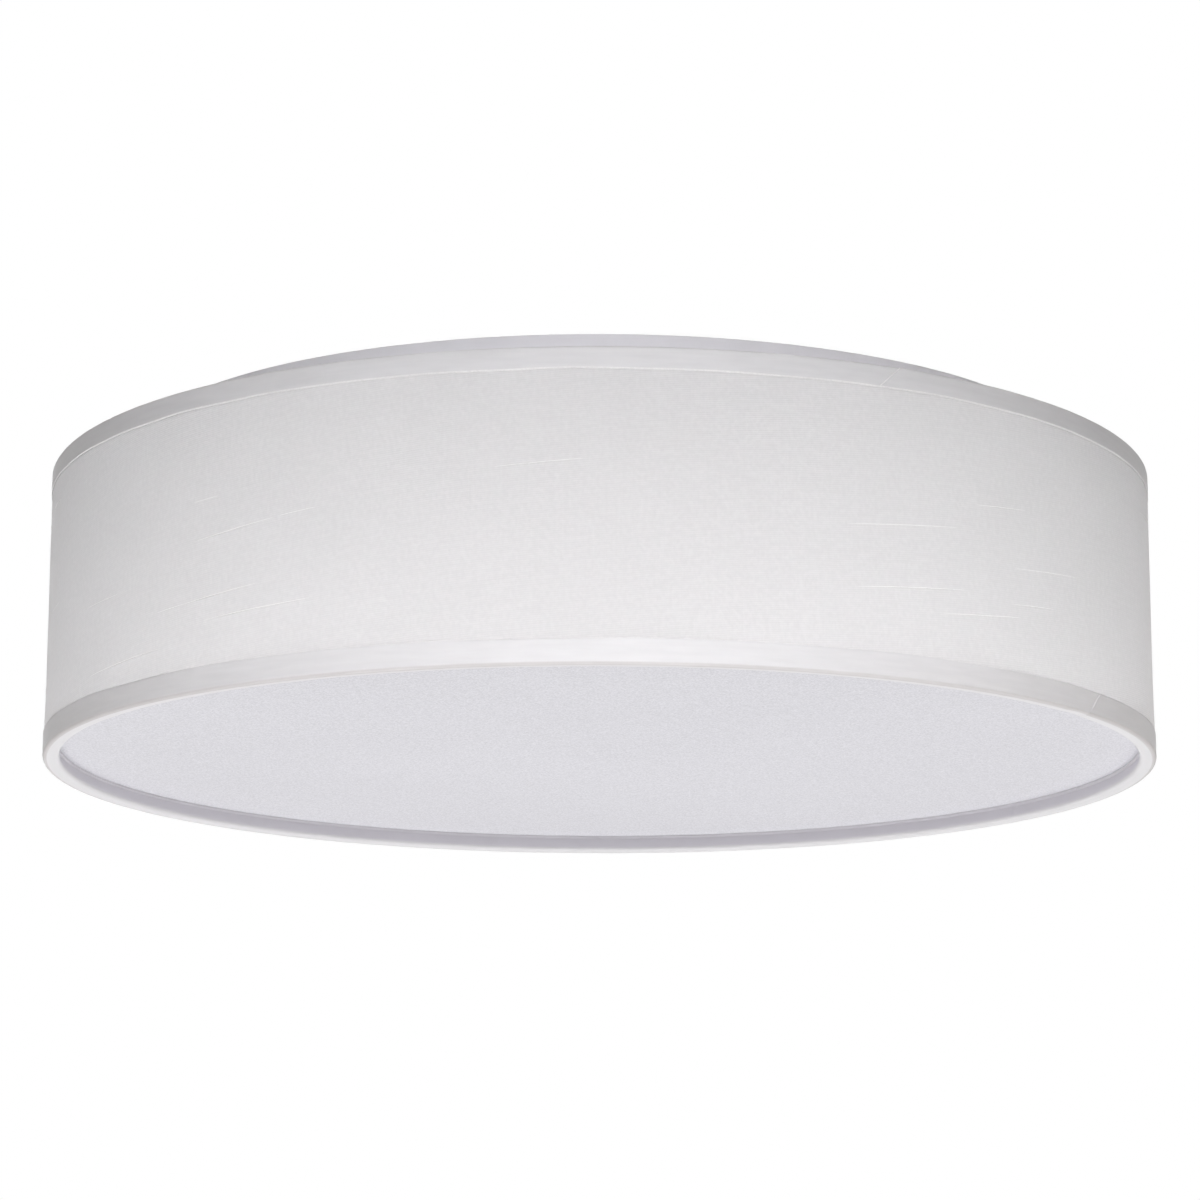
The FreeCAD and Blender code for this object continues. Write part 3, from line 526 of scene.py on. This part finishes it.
def add_piece(name, points, faces, materials, body, sharp=35.0, face_materials=None):
    """A new piece from points and faces, smooth shaded with sharp edges kept."""
    mesh = bpy.data.meshes.new(name)
    mesh.from_pydata(points, [], faces)
    mesh.update()
    for material in materials:
        mesh.materials.append(material)
    for n, index in enumerate(face_materials or []):
        mesh.polygons[n].material_index = index
    mesh.shade_smooth()
    mesh.set_sharp_from_angle(angle=math.radians(sharp))
    piece = bpy.data.objects.new(name, mesh)
    bpy.context.scene.collection.objects.link(piece)
    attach(piece, body)
    return piece


def flare(level):
    """How far the shade stands out at a level, which is nothing above its lowest part."""
    return FLARE * smooth((LOWEST + 28 * MM - level) / (20 * MM))


class Ripple:
    """A smooth wave round the drum, from a few seeded sines. It goes from about -1 to 1."""

    def __init__(self, seed, waves, count=7):
        rng = random.Random(seed)
        self.terms = [(rng.randint(*waves), rng.uniform(0, 2 * math.pi), rng.uniform(0.5, 1.0))
                      for _ in range(count)]
        self.total = sum(size for _, _, size in self.terms) * 0.6

    def __call__(self, angle):
        turn = math.radians(angle)
        return sum(size * math.sin(n * turn + phase) for n, phase, size in self.terms) / self.total


# Cloth


def shade_cloth():
    """The laminated cloth as one strip round the drum. Its last part lies over its start at the back, with its end
    turned in."""
    middle = FABRIC_RADIUS - FABRIC_THICKNESS / 2
    lap = math.degrees(SEAM_LAP / middle)
    step_length = math.degrees(1.2 * MM / middle)
    first = BACK - lap / 2
    stations = [360.0 * n / CLOTH_STATIONS for n in range(CLOTH_STATIONS)]
    stations += [360.0 - step_length * share for share in (1.0, 0.7, 0.3, 0.0)]
    stations += [360.0 + lap * n / 8 for n in range(1, 8)]
    stations += [360.0 + lap - 0.15, 360.0 + lap - 0.05, 360.0 + lap]
    lift = Ripple(5, (9, 31))
    low_edge, high_edge = BOTTOM_TAPE_OUTER_END, TOP_TAPE_OUTER_END
    levels = [FABRIC_LOW] + [low_edge + off * MM for off in (-4, -0.5, 0, 0.4, 1.2)]
    levels += [low_edge + (high_edge - low_edge) * n / 24 for n in range(1, 24)]
    levels += [high_edge + off * MM for off in (-1.2, -0.4, 0, 0.5)] + [FABRIC_HIGH]
    rows = len(levels) - 1
    points, faces = [], []
    for station in stations:
        angle = first + station
        rise = smooth((station - 360.0 + step_length) / step_length)
        out = FABRIC_THICKNESS * 1.02 * rise
        if station > 360.0 + lap - 0.4:
            out += 0.06 * MM
        for side in (1, -1):
            for row in range(rows + 1):
                level = levels[row]
                share = (level - FABRIC_LOW) / (FABRIC_HIGH - FABRIC_LOW)
                open_part = smooth(min(share, 1 - share) / 0.12)
                easy = 0.05 * MM * lift(angle + 40 * share) * open_part * (1 - rise)
                end = 0.12 * MM if station >= 360.0 + lap else 0.0
                radius = middle + out + easy + side * (FABRIC_THICKNESS / 2 - end)
                if side > 0:
                    under = max(low_edge - level, level - high_edge)
                    radius -= (TAPE_THICKNESS - 0.02 * MM) * smooth((under + 0.4 * MM) / (0.9 * MM))
                if rise > 0 and (level > high_edge - 0.3 * MM or level < low_edge + 0.3 * MM):
                    radius -= FABRIC_THICKNESS * (0.98 if side > 0 else 0.9) * rise
                points.append(at(radius + flare(level), angle, level))
    per = 2 * (rows + 1)
    for s in range(len(stations) - 1):
        a, b = s * per, (s + 1) * per
        for row in range(rows):
            faces.append((a + row, b + row, b + row + 1, a + row + 1))
            far = rows + 1
            faces.append((a + far + row, a + far + row + 1, b + far + row + 1, b + far + row))
        faces.append((a, a + rows + 1, b + rows + 1, b))
        faces.append((a + rows, b + rows, b + 2 * rows + 1, a + 2 * rows + 1))
    last = (len(stations) - 1) * per
    for row in range(rows):
        faces.append((row, row + 1, row + rows + 2, row + rows + 1))
        faces.append((last + row, last + row + rows + 1, last + row + rows + 2, last + row + 1))
    return add_piece("shade_cloth", points, faces, [LINEN], "shade")


# Slubs of the weave: (angle and height under the shade's top of one end, those of the other, strength)
SEEN_SLUBS = [
    (-131.9, -53.5, -121.8, -49.9, 1),
    (-121.4, -49.6, -117.2, -48.3, 0.45),
    (-137.3, -74.9, -133, -74.0, 0.6),
    (-133.2, -74.1, -123.6, -71.2, 1),
    (-130.2, -80.8, -117.8, -78.6, 1),
    (-149.8, -89.8, -136.5, -87.4, 1),
    (-132, -39.9, -128.6, -39.2, 0.2),
    (-151, -64.9, -144.2, -64.3, 0.4),
    (-99.6, -39.6, -91.4, -37.4, 0.6),
    (-66, -75.6, -53.6, -72.0, 1),
    (-56.2, -81.1, -46.1, -77.8, 1),
    (-47.2, -73.7, -41, -72.0, 0.9),
    (-52, -42.3, -45.1, -40.3, 0.8),
    (-66.7, -55.0, -54.4, -51.3, 0.6),
    (-47, -61.3, -36.7, -58.5, 0.5),
]
MORE_SLUBS = 22


def more_slubs():
    """Slubs on the part of the drum that faces away, as close together as those on the front."""
    rng = random.Random(29)
    made = []
    while len(made) < MORE_SLUBS:
        start = rng.uniform(-20.0, 200.0)
        length = rng.uniform(4.0, 13.0)
        low = rng.uniform(-93.0, -12.0)
        rise = WEFT_SLANT * FABRIC_RADIUS / MM * math.radians(length)
        if low + rise > -10.0 or (start < BACK + 3.5 and start + length > BACK - 3.5):
            continue
        made.append((start, low, start + length, low + rise, rng.uniform(0.4, 1.0)))
    return made


def fabric_slubs():
    """Thick places in single weft threads, lying in the face of the cloth, with painted shadow on their undersides.
    """
    rng = random.Random(7)
    points, faces, kinds = [], [], []
    around_count = 8
    for start, low, end, high, strength in SEEN_SLUBS + more_slubs():
        length = FABRIC_RADIUS * math.radians(end - start)
        steps = max(10, int(length / (1.6 * MM)))
        swell = [rng.uniform(0.88, 1.1) for _ in range(steps + 1)]
        wander = [rng.uniform(-0.03, 0.03) * MM for _ in range(steps + 1)]
        base = len(points)
        for n in range(steps + 1):
            t = n / steps
            body = math.sin(math.pi * t) ** 0.55 if 0 < n < steps else 0.04
            tall = 0.19 * MM * (0.6 + 0.4 * strength) * body * swell[n] + 0.02 * MM
            deep = 0.23 * MM * strength * body * swell[n] + 0.02 * MM
            angle = start + (end - start) * t
            level = SHADE_TOP + (low - 0.05 + (high - low) * t) * MM + wander[n] * body
            for k in range(around_count):
                turn = 2 * math.pi * k / around_count
                radius = FABRIC_RADIUS - 0.02 * MM + deep * math.cos(turn)
                points.append(at(radius + flare(level), angle, level + tall * math.sin(turn)))
        for n in range(steps):
            for k in range(around_count):
                a = base + n * around_count + k
                b = base + n * around_count + (k + 1) % around_count
                faces.append((a, a + around_count, b + around_count, b))
                # The two lowest faces of each slub take the painted shadow.
                kinds.append(1 if k in (5, 6) else 0)
        faces.append(tuple(base + k for k in range(around_count)))
        faces.append(tuple(base + steps * around_count + k for k in reversed(range(around_count))))
        kinds += [0, 0]
    return add_piece("fabric_slubs", points, faces, [SLUB, SLUB_SHADE], "shade", 80.0, kinds)


# Binding tapes


def rounded_path(corners, step=0.5 * MM, turns=8):
    """Points (radius, level) along the outside of a tape through its corners (radius, level, rounding)."""
    arcs = []
    for n, (r, z, rounding) in enumerate(corners):
        if not rounding:
            continue
        before, after = Vector(corners[n - 1][:2]), Vector(corners[n + 1][:2])
        here = Vector((r, z))
        entry = here + (before - here).normalized() * rounding
        leave = here + (after - here).normalized() * rounding
        centre = entry + (leave - here)
        arcs.append([centre + ((entry - centre) * math.cos(a) + (leave - centre) * math.sin(a))
                     for a in (math.pi / 2 * k / turns for k in range(turns + 1))])
    made = [Vector(corners[0][:2])]
    for arc in arcs + [[Vector(corners[-1][:2])]]:
        start, end = made[-1], arc[0]
        count = max(1, round((end - start).length / step))
        made += [start.lerp(end, k / count) for k in range(1, count)]
        made += arc
    return made


def path_normals(path):
    """The outward direction at each point of the path."""
    normals = []
    for n in range(len(path)):
        along = (path[min(n + 1, len(path) - 1)] - path[max(n - 1, 0)]).normalized()
        normals.append(Vector((along.y, -along.x)))
    return normals


def free_edge(last, beside):
    """The middle of the tape's rounded edge, past the last point of its outside."""
    q, normal, turn = last
    away = (q - beside[0]).normalized()
    return q - normal * TAPE_THICKNESS / 2 + away * TAPE_THICKNESS * 0.3, turn


def tape_stations(at_edge, slits, creases):
    """Angles of the tape's sections, closer together at its joint, its slits and its creases."""
    fine = [at_edge + 0.05 * k for k in range(-6, 7)]
    near = [at_edge + s * d for s in (-1, 1) for d in (0.45, 0.7, 1.0, 1.4)]
    plain = [a for a in (360.0 * n / TAPE_STATIONS for n in range(TAPE_STATIONS))
             if abs(turn_from(at_edge, a)) > 1.6 and not any(abs(turn_from(s, a)) < 1.0 for s in slits)]
    creased = [place + 0.15 * n for place, _ in creases for n in range(-10, 8)]
    either_side = (0.15, 0.35, 0.5, 0.58, 0.62, 0.8, 1.0)
    slit = [s + d for s in slits for d in (0.0, *either_side, *(-d for d in either_side))]
    return sorted(a % 360 for a in fine + near + plain + creased + slit)


def swept_tape(name, corners, seam, edge_ripple, face_ripple, pucker, slits=(), creases=()):
    """Tape folded over an edge of the shade, all the way round, with its slanted lap joint at seam = (angle at
    the outer edge, angle at the fold), a wavy free edge, and puckers where the fold takes up its length. Slits are
    angles, and creases are (angle, height)."""
    at_edge, at_fold = seam
    side = 1 if at_fold < at_edge else -1
    stations = tape_stations(at_edge, slits, creases)
    edge, face = Ripple(*edge_ripple), Ripple(*face_ripple)
    folds = [Ripple(pucker[0] + k, pucker[1]) for k in range(2)]
    path = rounded_path(corners)
    normals = path_normals(path)
    lengths = [0.0]
    for a, b in zip(path, path[1:]):
        lengths.append(lengths[-1] + (b - a).length)
    total = lengths[-1]
    outer_leg = corners[0][1] - corners[1][1]
    outer_length = abs(outer_leg)
    points = []
    for angle in stations:
        from_seam = turn_from(at_edge, angle)
        lean = smooth(1 - abs(from_seam) / 5.0)
        over = smooth((-from_seam * side + 0.04) / 0.12) * smooth((6.5 + from_seam * side) / 3.0)
        loop = []
        for p, normal, length in zip(path, normals, lengths):
            share = length / total
            inner_share = smooth((length - outer_length) / (total - outer_length))
            q = p.copy()
            drop = smooth(1 - length / outer_length) ** 2
            q.y += TAPE_EDGE_WAVE * edge(angle) * drop * (1 if outer_leg > 0 else -1)
            q += normal * TAPE_FACE_WAVE * face(angle + 25 * share)
            wrinkle = folds[0](angle + 2.0 * share) * folds[1](angle - 3.0 * share)
            q += normal * TAPE_PUCKER * wrinkle * smooth(4 * share * (1 - share)) * (0.5 + inner_share)
            q += normal * TAPE_LAP * over
            for place, high in creases:
                off = turn_from(place, angle)
                ridge = math.exp(-((off / 0.35) ** 2)) - 0.7 * math.exp(-(((off + 0.75) / 0.4) ** 2))
                q += normal * high * ridge * inner_share
            loop.append((q, normal, angle + (at_fold - at_edge) * lean * min(1.0, length / outer_length)))
        section = [(q, turn) for q, _, turn in loop]
        section.append(free_edge(loop[-1], loop[-2]))
        section += [(q - normal * TAPE_THICKNESS, turn) for q, normal, turn in reversed(loop)]
        section.append(free_edge(loop[0], loop[1]))
        for s in slits:
            half = math.radians(abs(turn_from(s, angle))) * TOP_INNER_RADIUS
            if half < ARM_SLIT:
                slit_edge = ARM_LEVEL + math.sqrt(ARM_SLIT**2 - half**2)
                section = [(Vector((q.x, max(q.y, slit_edge))) if q.x < TOP_INNER_RADIUS + 1.2 * MM else q, turn)
                           for q, turn in section]
        points.append([at(q.x + (flare(q.y) if q.x > TOP_INNER_RADIUS + 2 * MM else 0.0), turn, q.y)
                       for q, turn in section])
    per = len(points[0])
    kinds = []
    for angle in stations:
        cut_end = -0.12 < turn_from(at_edge, angle) < 0.04
        kinds += [1 if k in (0, per - 2, per - 1) or (cut_end and k < len(path) // 2) else 0 for k in range(per)]
    return add_piece(name, [p for ring in points for p in ring], ring_faces(len(stations), per), [TAPE, SELVEDGE],
                     "shade", 60.0, kinds)


def rim_hoop():
    """The moulded hoop inside the bottom tape, with the ledge that the diffuser rests on."""
    skin = TAPE_THICKNESS * 1.15
    foot = LOWEST + LIP_RISE + skin
    section = [(HOOP_OUTER_RADIUS - 0.3 * MM, LEDGE), (LEDGE_RADIUS + skin + 0.2 * MM, LEDGE),
               (LEDGE_RADIUS + skin, LEDGE - 0.25 * MM)]
    section += [(LIP_RADIUS + skin + across * MM, foot + up * MM)
                for across, up in ((0.8, 1.9), (0.65, 1.3), (0.7, 0.8), (1.15, 0.3), (1.9, 0.0))]
    section += [(HOOP_OUTER_RADIUS - 0.4 * MM, foot - 0.2 * MM), (HOOP_OUTER_RADIUS, foot + 0.3 * MM),
                (HOOP_OUTER_RADIUS, LEDGE - 0.3 * MM)]
    points = [at(radius, 360.0 * n / HOOP_STATIONS, level) for n in range(HOOP_STATIONS) for radius, level in section]
    return add_piece("rim_hoop", points, ring_faces(HOOP_STATIONS, len(section)), [SLOT_FINISHES["white_hoop"]],
                     "shade", 30.0)


def led_emitters():
    """The surface mounted light sources: a white frame round a shallow cup of phosphor."""
    points, faces, kinds = [], [], []
    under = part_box("led_board")[0].z
    half_long, half_wide, tall = 1.75 * MM, 1.4 * MM, 0.7 * MM
    cup_long, cup_wide, cup_deep = 1.35 * MM, 1.05 * MM, 0.22 * MM
    chamfer = 0.12 * MM

    def loop(half_u, half_v, corner, level):
        made = []
        for su, sv in ((1, 1), (-1, 1), (-1, -1), (1, -1)):
            pair = [(su * half_u, sv * (half_v - corner)), (su * (half_u - corner), sv * half_v)]
            made += pair if su * sv > 0 else pair[::-1]
        return [(u, v, level) for u, v in made]

    for radius, count in LIGHT_RINGS:
        for n in range(count):
            angle = 360.0 * (n + 0.5) / count
            turn = Matrix.Rotation(math.radians(angle), 4, "Z") @ Matrix.Translation((radius, 0, under))
            loops = [
                loop(half_wide, half_long, 0.1 * MM, 0.0),
                loop(half_wide, half_long, 0.1 * MM, -tall + chamfer),
                loop(half_wide - chamfer * 0.7, half_long - chamfer * 0.7, 0.15 * MM, -tall),
                loop(cup_wide, cup_long, 0.45 * MM, -tall),
                loop(cup_wide - 0.1 * MM, cup_long - 0.1 * MM, 0.42 * MM, -tall + cup_deep),
            ]
            base = len(points)
            for ring_points in loops:
                points += [turn @ Vector(p) for p in ring_points]
            for k in range(len(loops) - 1):
                for m in range(8):
                    a, b = base + 8 * k + m, base + 8 * k + (m + 1) % 8
                    faces.append((a, b, b + 8, a + 8))
                    kinds.append(1 if k == 3 else 0)
            faces.append(tuple(base + 8 * (len(loops) - 1) + m for m in range(8)))
            kinds.append(1)
            faces.append(tuple(base + m for m in reversed(range(8))))
            kinds.append(0)
    return add_piece("led_emitters", points, faces, [PACKAGE, PHOSPHOR], "pan", 30.0, kinds)


LINEN = linen("white_linen")
SLUB = slub_thread("linen_slub")
SLUB_SHADE = slub_underside_shade("slub_painted_shade")
TAPE = satin_tape("white_tape")
SELVEDGE = selvedge_thread("tape_selvedge")
PACKAGE = moulded("package_white", (0.84, 0.83, 0.80), 0.35, 0.01, 4000.0)
PHOSPHOR = phosphor_gel("phosphor")

cloth = shade_cloth()
fabric_slubs()
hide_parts("shade_fabric")

bottom_tape = swept_tape(
    "bottom_tape",
    [(OUTER_RADIUS, BOTTOM_TAPE_OUTER_END, 0), (OUTER_RADIUS, LOWEST, FOLD_ROLL),
     (LIP_RADIUS, LOWEST + LIP_RISE, LIP_ROLL),
     (LEDGE_RADIUS - 0.2 * MM, LEDGE - 0.9 * MM, 0.5 * MM), (LEDGE_RADIUS - 0.9 * MM, LEDGE, 0)],
    seam=(-32.8, -35.1),
    edge_ripple=(11, (5, 40), 12),
    face_ripple=(12, (7, 60), 12),
    pucker=(13, (20, 95)),
    creases=[(33.9, 0.45 * MM)],
)
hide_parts("bottom_trim")
top_tape = swept_tape(
    "top_tape",
    [(TOP_OUTER_RADIUS, TOP_TAPE_OUTER_END, 0), (TOP_OUTER_RADIUS, SHADE_TOP, 0.8 * MM),
     (TOP_INNER_RADIUS, SHADE_TOP, 1.5 * MM), (TOP_INNER_RADIUS, TOP_TAPE_INNER_END, 0)],
    seam=(-63.2, -60.8),
    edge_ripple=(21, (5, 40), 12),
    face_ripple=(22, (7, 60), 12),
    pucker=(23, (20, 95)),
    slits=ARM_ANGLES,
)
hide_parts("top_trim")

hoop = rim_hoop()
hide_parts("bottom_hoop")

emitters = led_emitters()
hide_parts("led_packages")


# Floor, light and camera


FLOOR_LEVEL = -2.4
FLOOR_COLOUR = (0.55, 0.55, 0.55, 1)
FLOOR_GLOW = 0.55
FLAG_COLOUR = (0.12, 0.12, 0.12, 1)
FLAG_RADIUS, FLAG_LOW, FLAG_HIGH = 0.50, 0.0, 0.22
SKY = (0.31, 0.297, 0.286, 1)
GROUND = (0.205, 0.2, 0.196, 1)
BACKGROUND = (1.0, 1.0, 1.0, 1)
HORIZON = 0.12  # height of a view direction at which the sky's colour is reached
COOL = (0.97, 0.975, 1.0)
WARM = (1.0, 0.945, 0.90)
DRUM_MIDDLE = (0.0, 0.0, -0.06)
CAMERA_PLACE = (0.0, -1.4150, -0.3590)
CAMERA_LENS = 116.57
CAMERA_TURN, CAMERA_PITCH, CAMERA_ROLL = (math.radians(angle) for angle in (-0.0045, 102.216, 0.103))


def staged(name, points, faces):
    """An object of the studio, with a new material for its surface. It returns both."""
    mesh = bpy.data.meshes.new(name)
    mesh.from_pydata(points, [], faces)
    made = bpy.data.objects.new(name, mesh)
    bpy.context.scene.collection.objects.link(made)
    material = bpy.data.materials.new(name)
    material.use_nodes = True
    mesh.materials.append(material)
    return made, material


def studio_floor():
    """A round pale floor well below the light. The camera sees it nearly white, with the shadow that falls on it."""
    rings, sides = (1.5, 4.0, 9.0), 48
    points = [(0, 0, FLOOR_LEVEL)]
    points += [at(radius, 360 * k / sides, FLOOR_LEVEL) for radius in rings for k in range(sides)]
    faces = [(0, 1 + k, 1 + (k + 1) % sides) for k in range(sides)]
    for n in range(len(rings) - 1):
        a, b = 1 + n * sides, 1 + (n + 1) * sides
        faces += [(a + k, b + k, b + (k + 1) % sides, a + (k + 1) % sides) for k in range(sides)]
    floor, material = staged("studio_floor", points, faces)
    tree = material.node_tree
    tree.nodes.remove(tree.nodes["Principled BSDF"])
    diffuse = tree.nodes.new("ShaderNodeBsdfDiffuse")
    diffuse.inputs["Color"].default_value = FLOOR_COLOUR
    glow = tree.nodes.new("ShaderNodeEmission")
    strength = tree.nodes.new("ShaderNodeMath")
    strength.operation = "MULTIPLY"
    strength.inputs[1].default_value = FLOOR_GLOW
    tree.links.new(seen_by_camera(tree), strength.inputs[0])
    tree.links.new(strength.outputs[0], glow.inputs["Strength"])
    both = tree.nodes.new("ShaderNodeAddShader")
    tree.links.new(diffuse.outputs[0], both.inputs[0])
    tree.links.new(glow.outputs[0], both.inputs[1])
    tree.links.new(both.outputs[0], tree.nodes["Material Output"].inputs["Surface"])


def studio_flag():
    """A dark card that stands round the light above the ceiling line, and shades the pan and the top of the shade
    from the lamps. It isn't seen."""
    sides = 96
    points = [at(FLAG_RADIUS, 360 * k / sides, level) for level in (FLAG_LOW, FLAG_HIGH) for k in range(sides)]
    faces = [(k, k + sides, (k + 1) % sides + sides, (k + 1) % sides) for k in range(sides)]
    flag, material = staged("studio_flag", points, faces)
    shader = material.node_tree.nodes["Principled BSDF"]
    shader.inputs["Base Color"].default_value = FLAG_COLOUR
    shader.inputs["Roughness"].default_value = 0.9
    shader.inputs["Specular IOR Level"].default_value = 0.1
    flag.visible_camera = False
    flag.visible_glossy = False


def seen_by_camera(tree):
    """1 for rays from the camera, and for those that it sees by a reflection or through glass."""
    path = tree.nodes.new("ShaderNodeLightPath")
    total = path.outputs["Is Camera Ray"]
    for name in ("Is Glossy Ray", "Is Transmission Ray"):
        more = tree.nodes.new("ShaderNodeMath")
        more.operation = "MAXIMUM"
        tree.links.new(total, more.inputs[0])
        tree.links.new(path.outputs[name], more.inputs[1])
        total = more.outputs[0]
    return total


def studio_world():
    """Soft light from all round, and white where the camera looks past the light."""
    world = bpy.data.worlds.new("studio")
    bpy.context.scene.world = world
    world.use_nodes = True
    tree = world.node_tree
    soft = tree.nodes["Background"]
    parts = tree.nodes.new("ShaderNodeSeparateXYZ")
    tree.links.new(tree.nodes.new("ShaderNodeTexCoord").outputs["Generated"], parts.inputs[0])
    horizon = tree.nodes.new("ShaderNodeMapRange")
    horizon.interpolation_type = "SMOOTHSTEP"
    horizon.inputs["From Min"].default_value = -HORIZON
    horizon.inputs["From Max"].default_value = HORIZON
    tree.links.new(parts.outputs["Z"], horizon.inputs["Value"])
    tint = tree.nodes.new("ShaderNodeMix")
    tint.data_type = "RGBA"
    tint.inputs[6].default_value = GROUND
    tint.inputs[7].default_value = SKY
    tree.links.new(horizon.outputs[0], tint.inputs[0])
    tree.links.new(tint.outputs[2], soft.inputs["Color"])
    soft.inputs["Strength"].default_value = 1.0
    white = tree.nodes.new("ShaderNodeBackground")
    white.inputs["Color"].default_value = BACKGROUND
    white.inputs["Strength"].default_value = 1.0
    mix = tree.nodes.new("ShaderNodeMixShader")
    tree.links.new(seen_by_camera(tree), mix.inputs[0])
    tree.links.new(soft.outputs[0], mix.inputs[1])
    tree.links.new(white.outputs[0], mix.inputs[2])
    tree.links.new(mix.outputs[0], tree.nodes["World Output"].inputs["Surface"])


def softbox(name, place, target, size, power, colour):
    light = bpy.data.lights.new(name, "AREA")
    light.shape = "RECTANGLE"
    light.size, light.size_y = size
    light.energy = power
    light.color = colour
    lamp = bpy.data.objects.new(name, light)
    bpy.context.scene.collection.objects.link(lamp)
    lamp.location = place
    lamp.rotation_mode = "QUATERNION"
    lamp.rotation_quaternion = (Vector(target) - Vector(place)).to_track_quat("-Z", "Y")
    lamp.visible_camera = False


def studio_camera():
    data = bpy.data.cameras.new("camera")
    data.sensor_width = 36.0
    data.lens = CAMERA_LENS
    data.clip_start, data.clip_end = 0.05, 50.0
    camera = bpy.data.objects.new("camera", data)
    bpy.context.scene.collection.objects.link(camera)
    turn = Matrix.Rotation(CAMERA_TURN, 4, "Z") @ Matrix.Rotation(CAMERA_PITCH, 4, "X")
    camera.matrix_world = Matrix.Translation(CAMERA_PLACE) @ turn @ Matrix.Rotation(CAMERA_ROLL, 4, "Z")
    bpy.context.scene.camera = camera


studio_floor()
studio_flag()
studio_world()
softbox("key", (0.0, -2.6, 0.30), DRUM_MIDDLE, (1.8, 0.8), 18.0, COOL)
softbox("low_strip", (0.0, -0.8, -0.06), DRUM_MIDDLE, (1.0, 0.09), 2.9, COOL)
softbox("left", (-2.2, -0.9, 0.30), DRUM_MIDDLE, (1.4, 0.9), 1.5, WARM)
softbox("right", (2.2, -0.9, 0.30), DRUM_MIDDLE, (1.4, 0.9), 6.0, WARM)
softbox("over", (0.0, -0.9, 2.0), DRUM_MIDDLE, (1.6, 1.6), 5.0, COOL)
softbox("under", (0.0, -0.2, -1.2), (0.0, 0.0, -0.1), (1.0, 1.0), 8.6, COOL)
softbox("under_wide", (-0.1, 0.25, -1.0), (-0.1, 0.25, 0.0), (2.6, 0.7), 5.3, COOL)
softbox("back", (-0.1, 2.7, 0.30), DRUM_MIDDLE, (1.8, 0.9), 26.0, COOL)
studio_camera()
bpy.context.scene.view_settings.view_transform = "Standard"
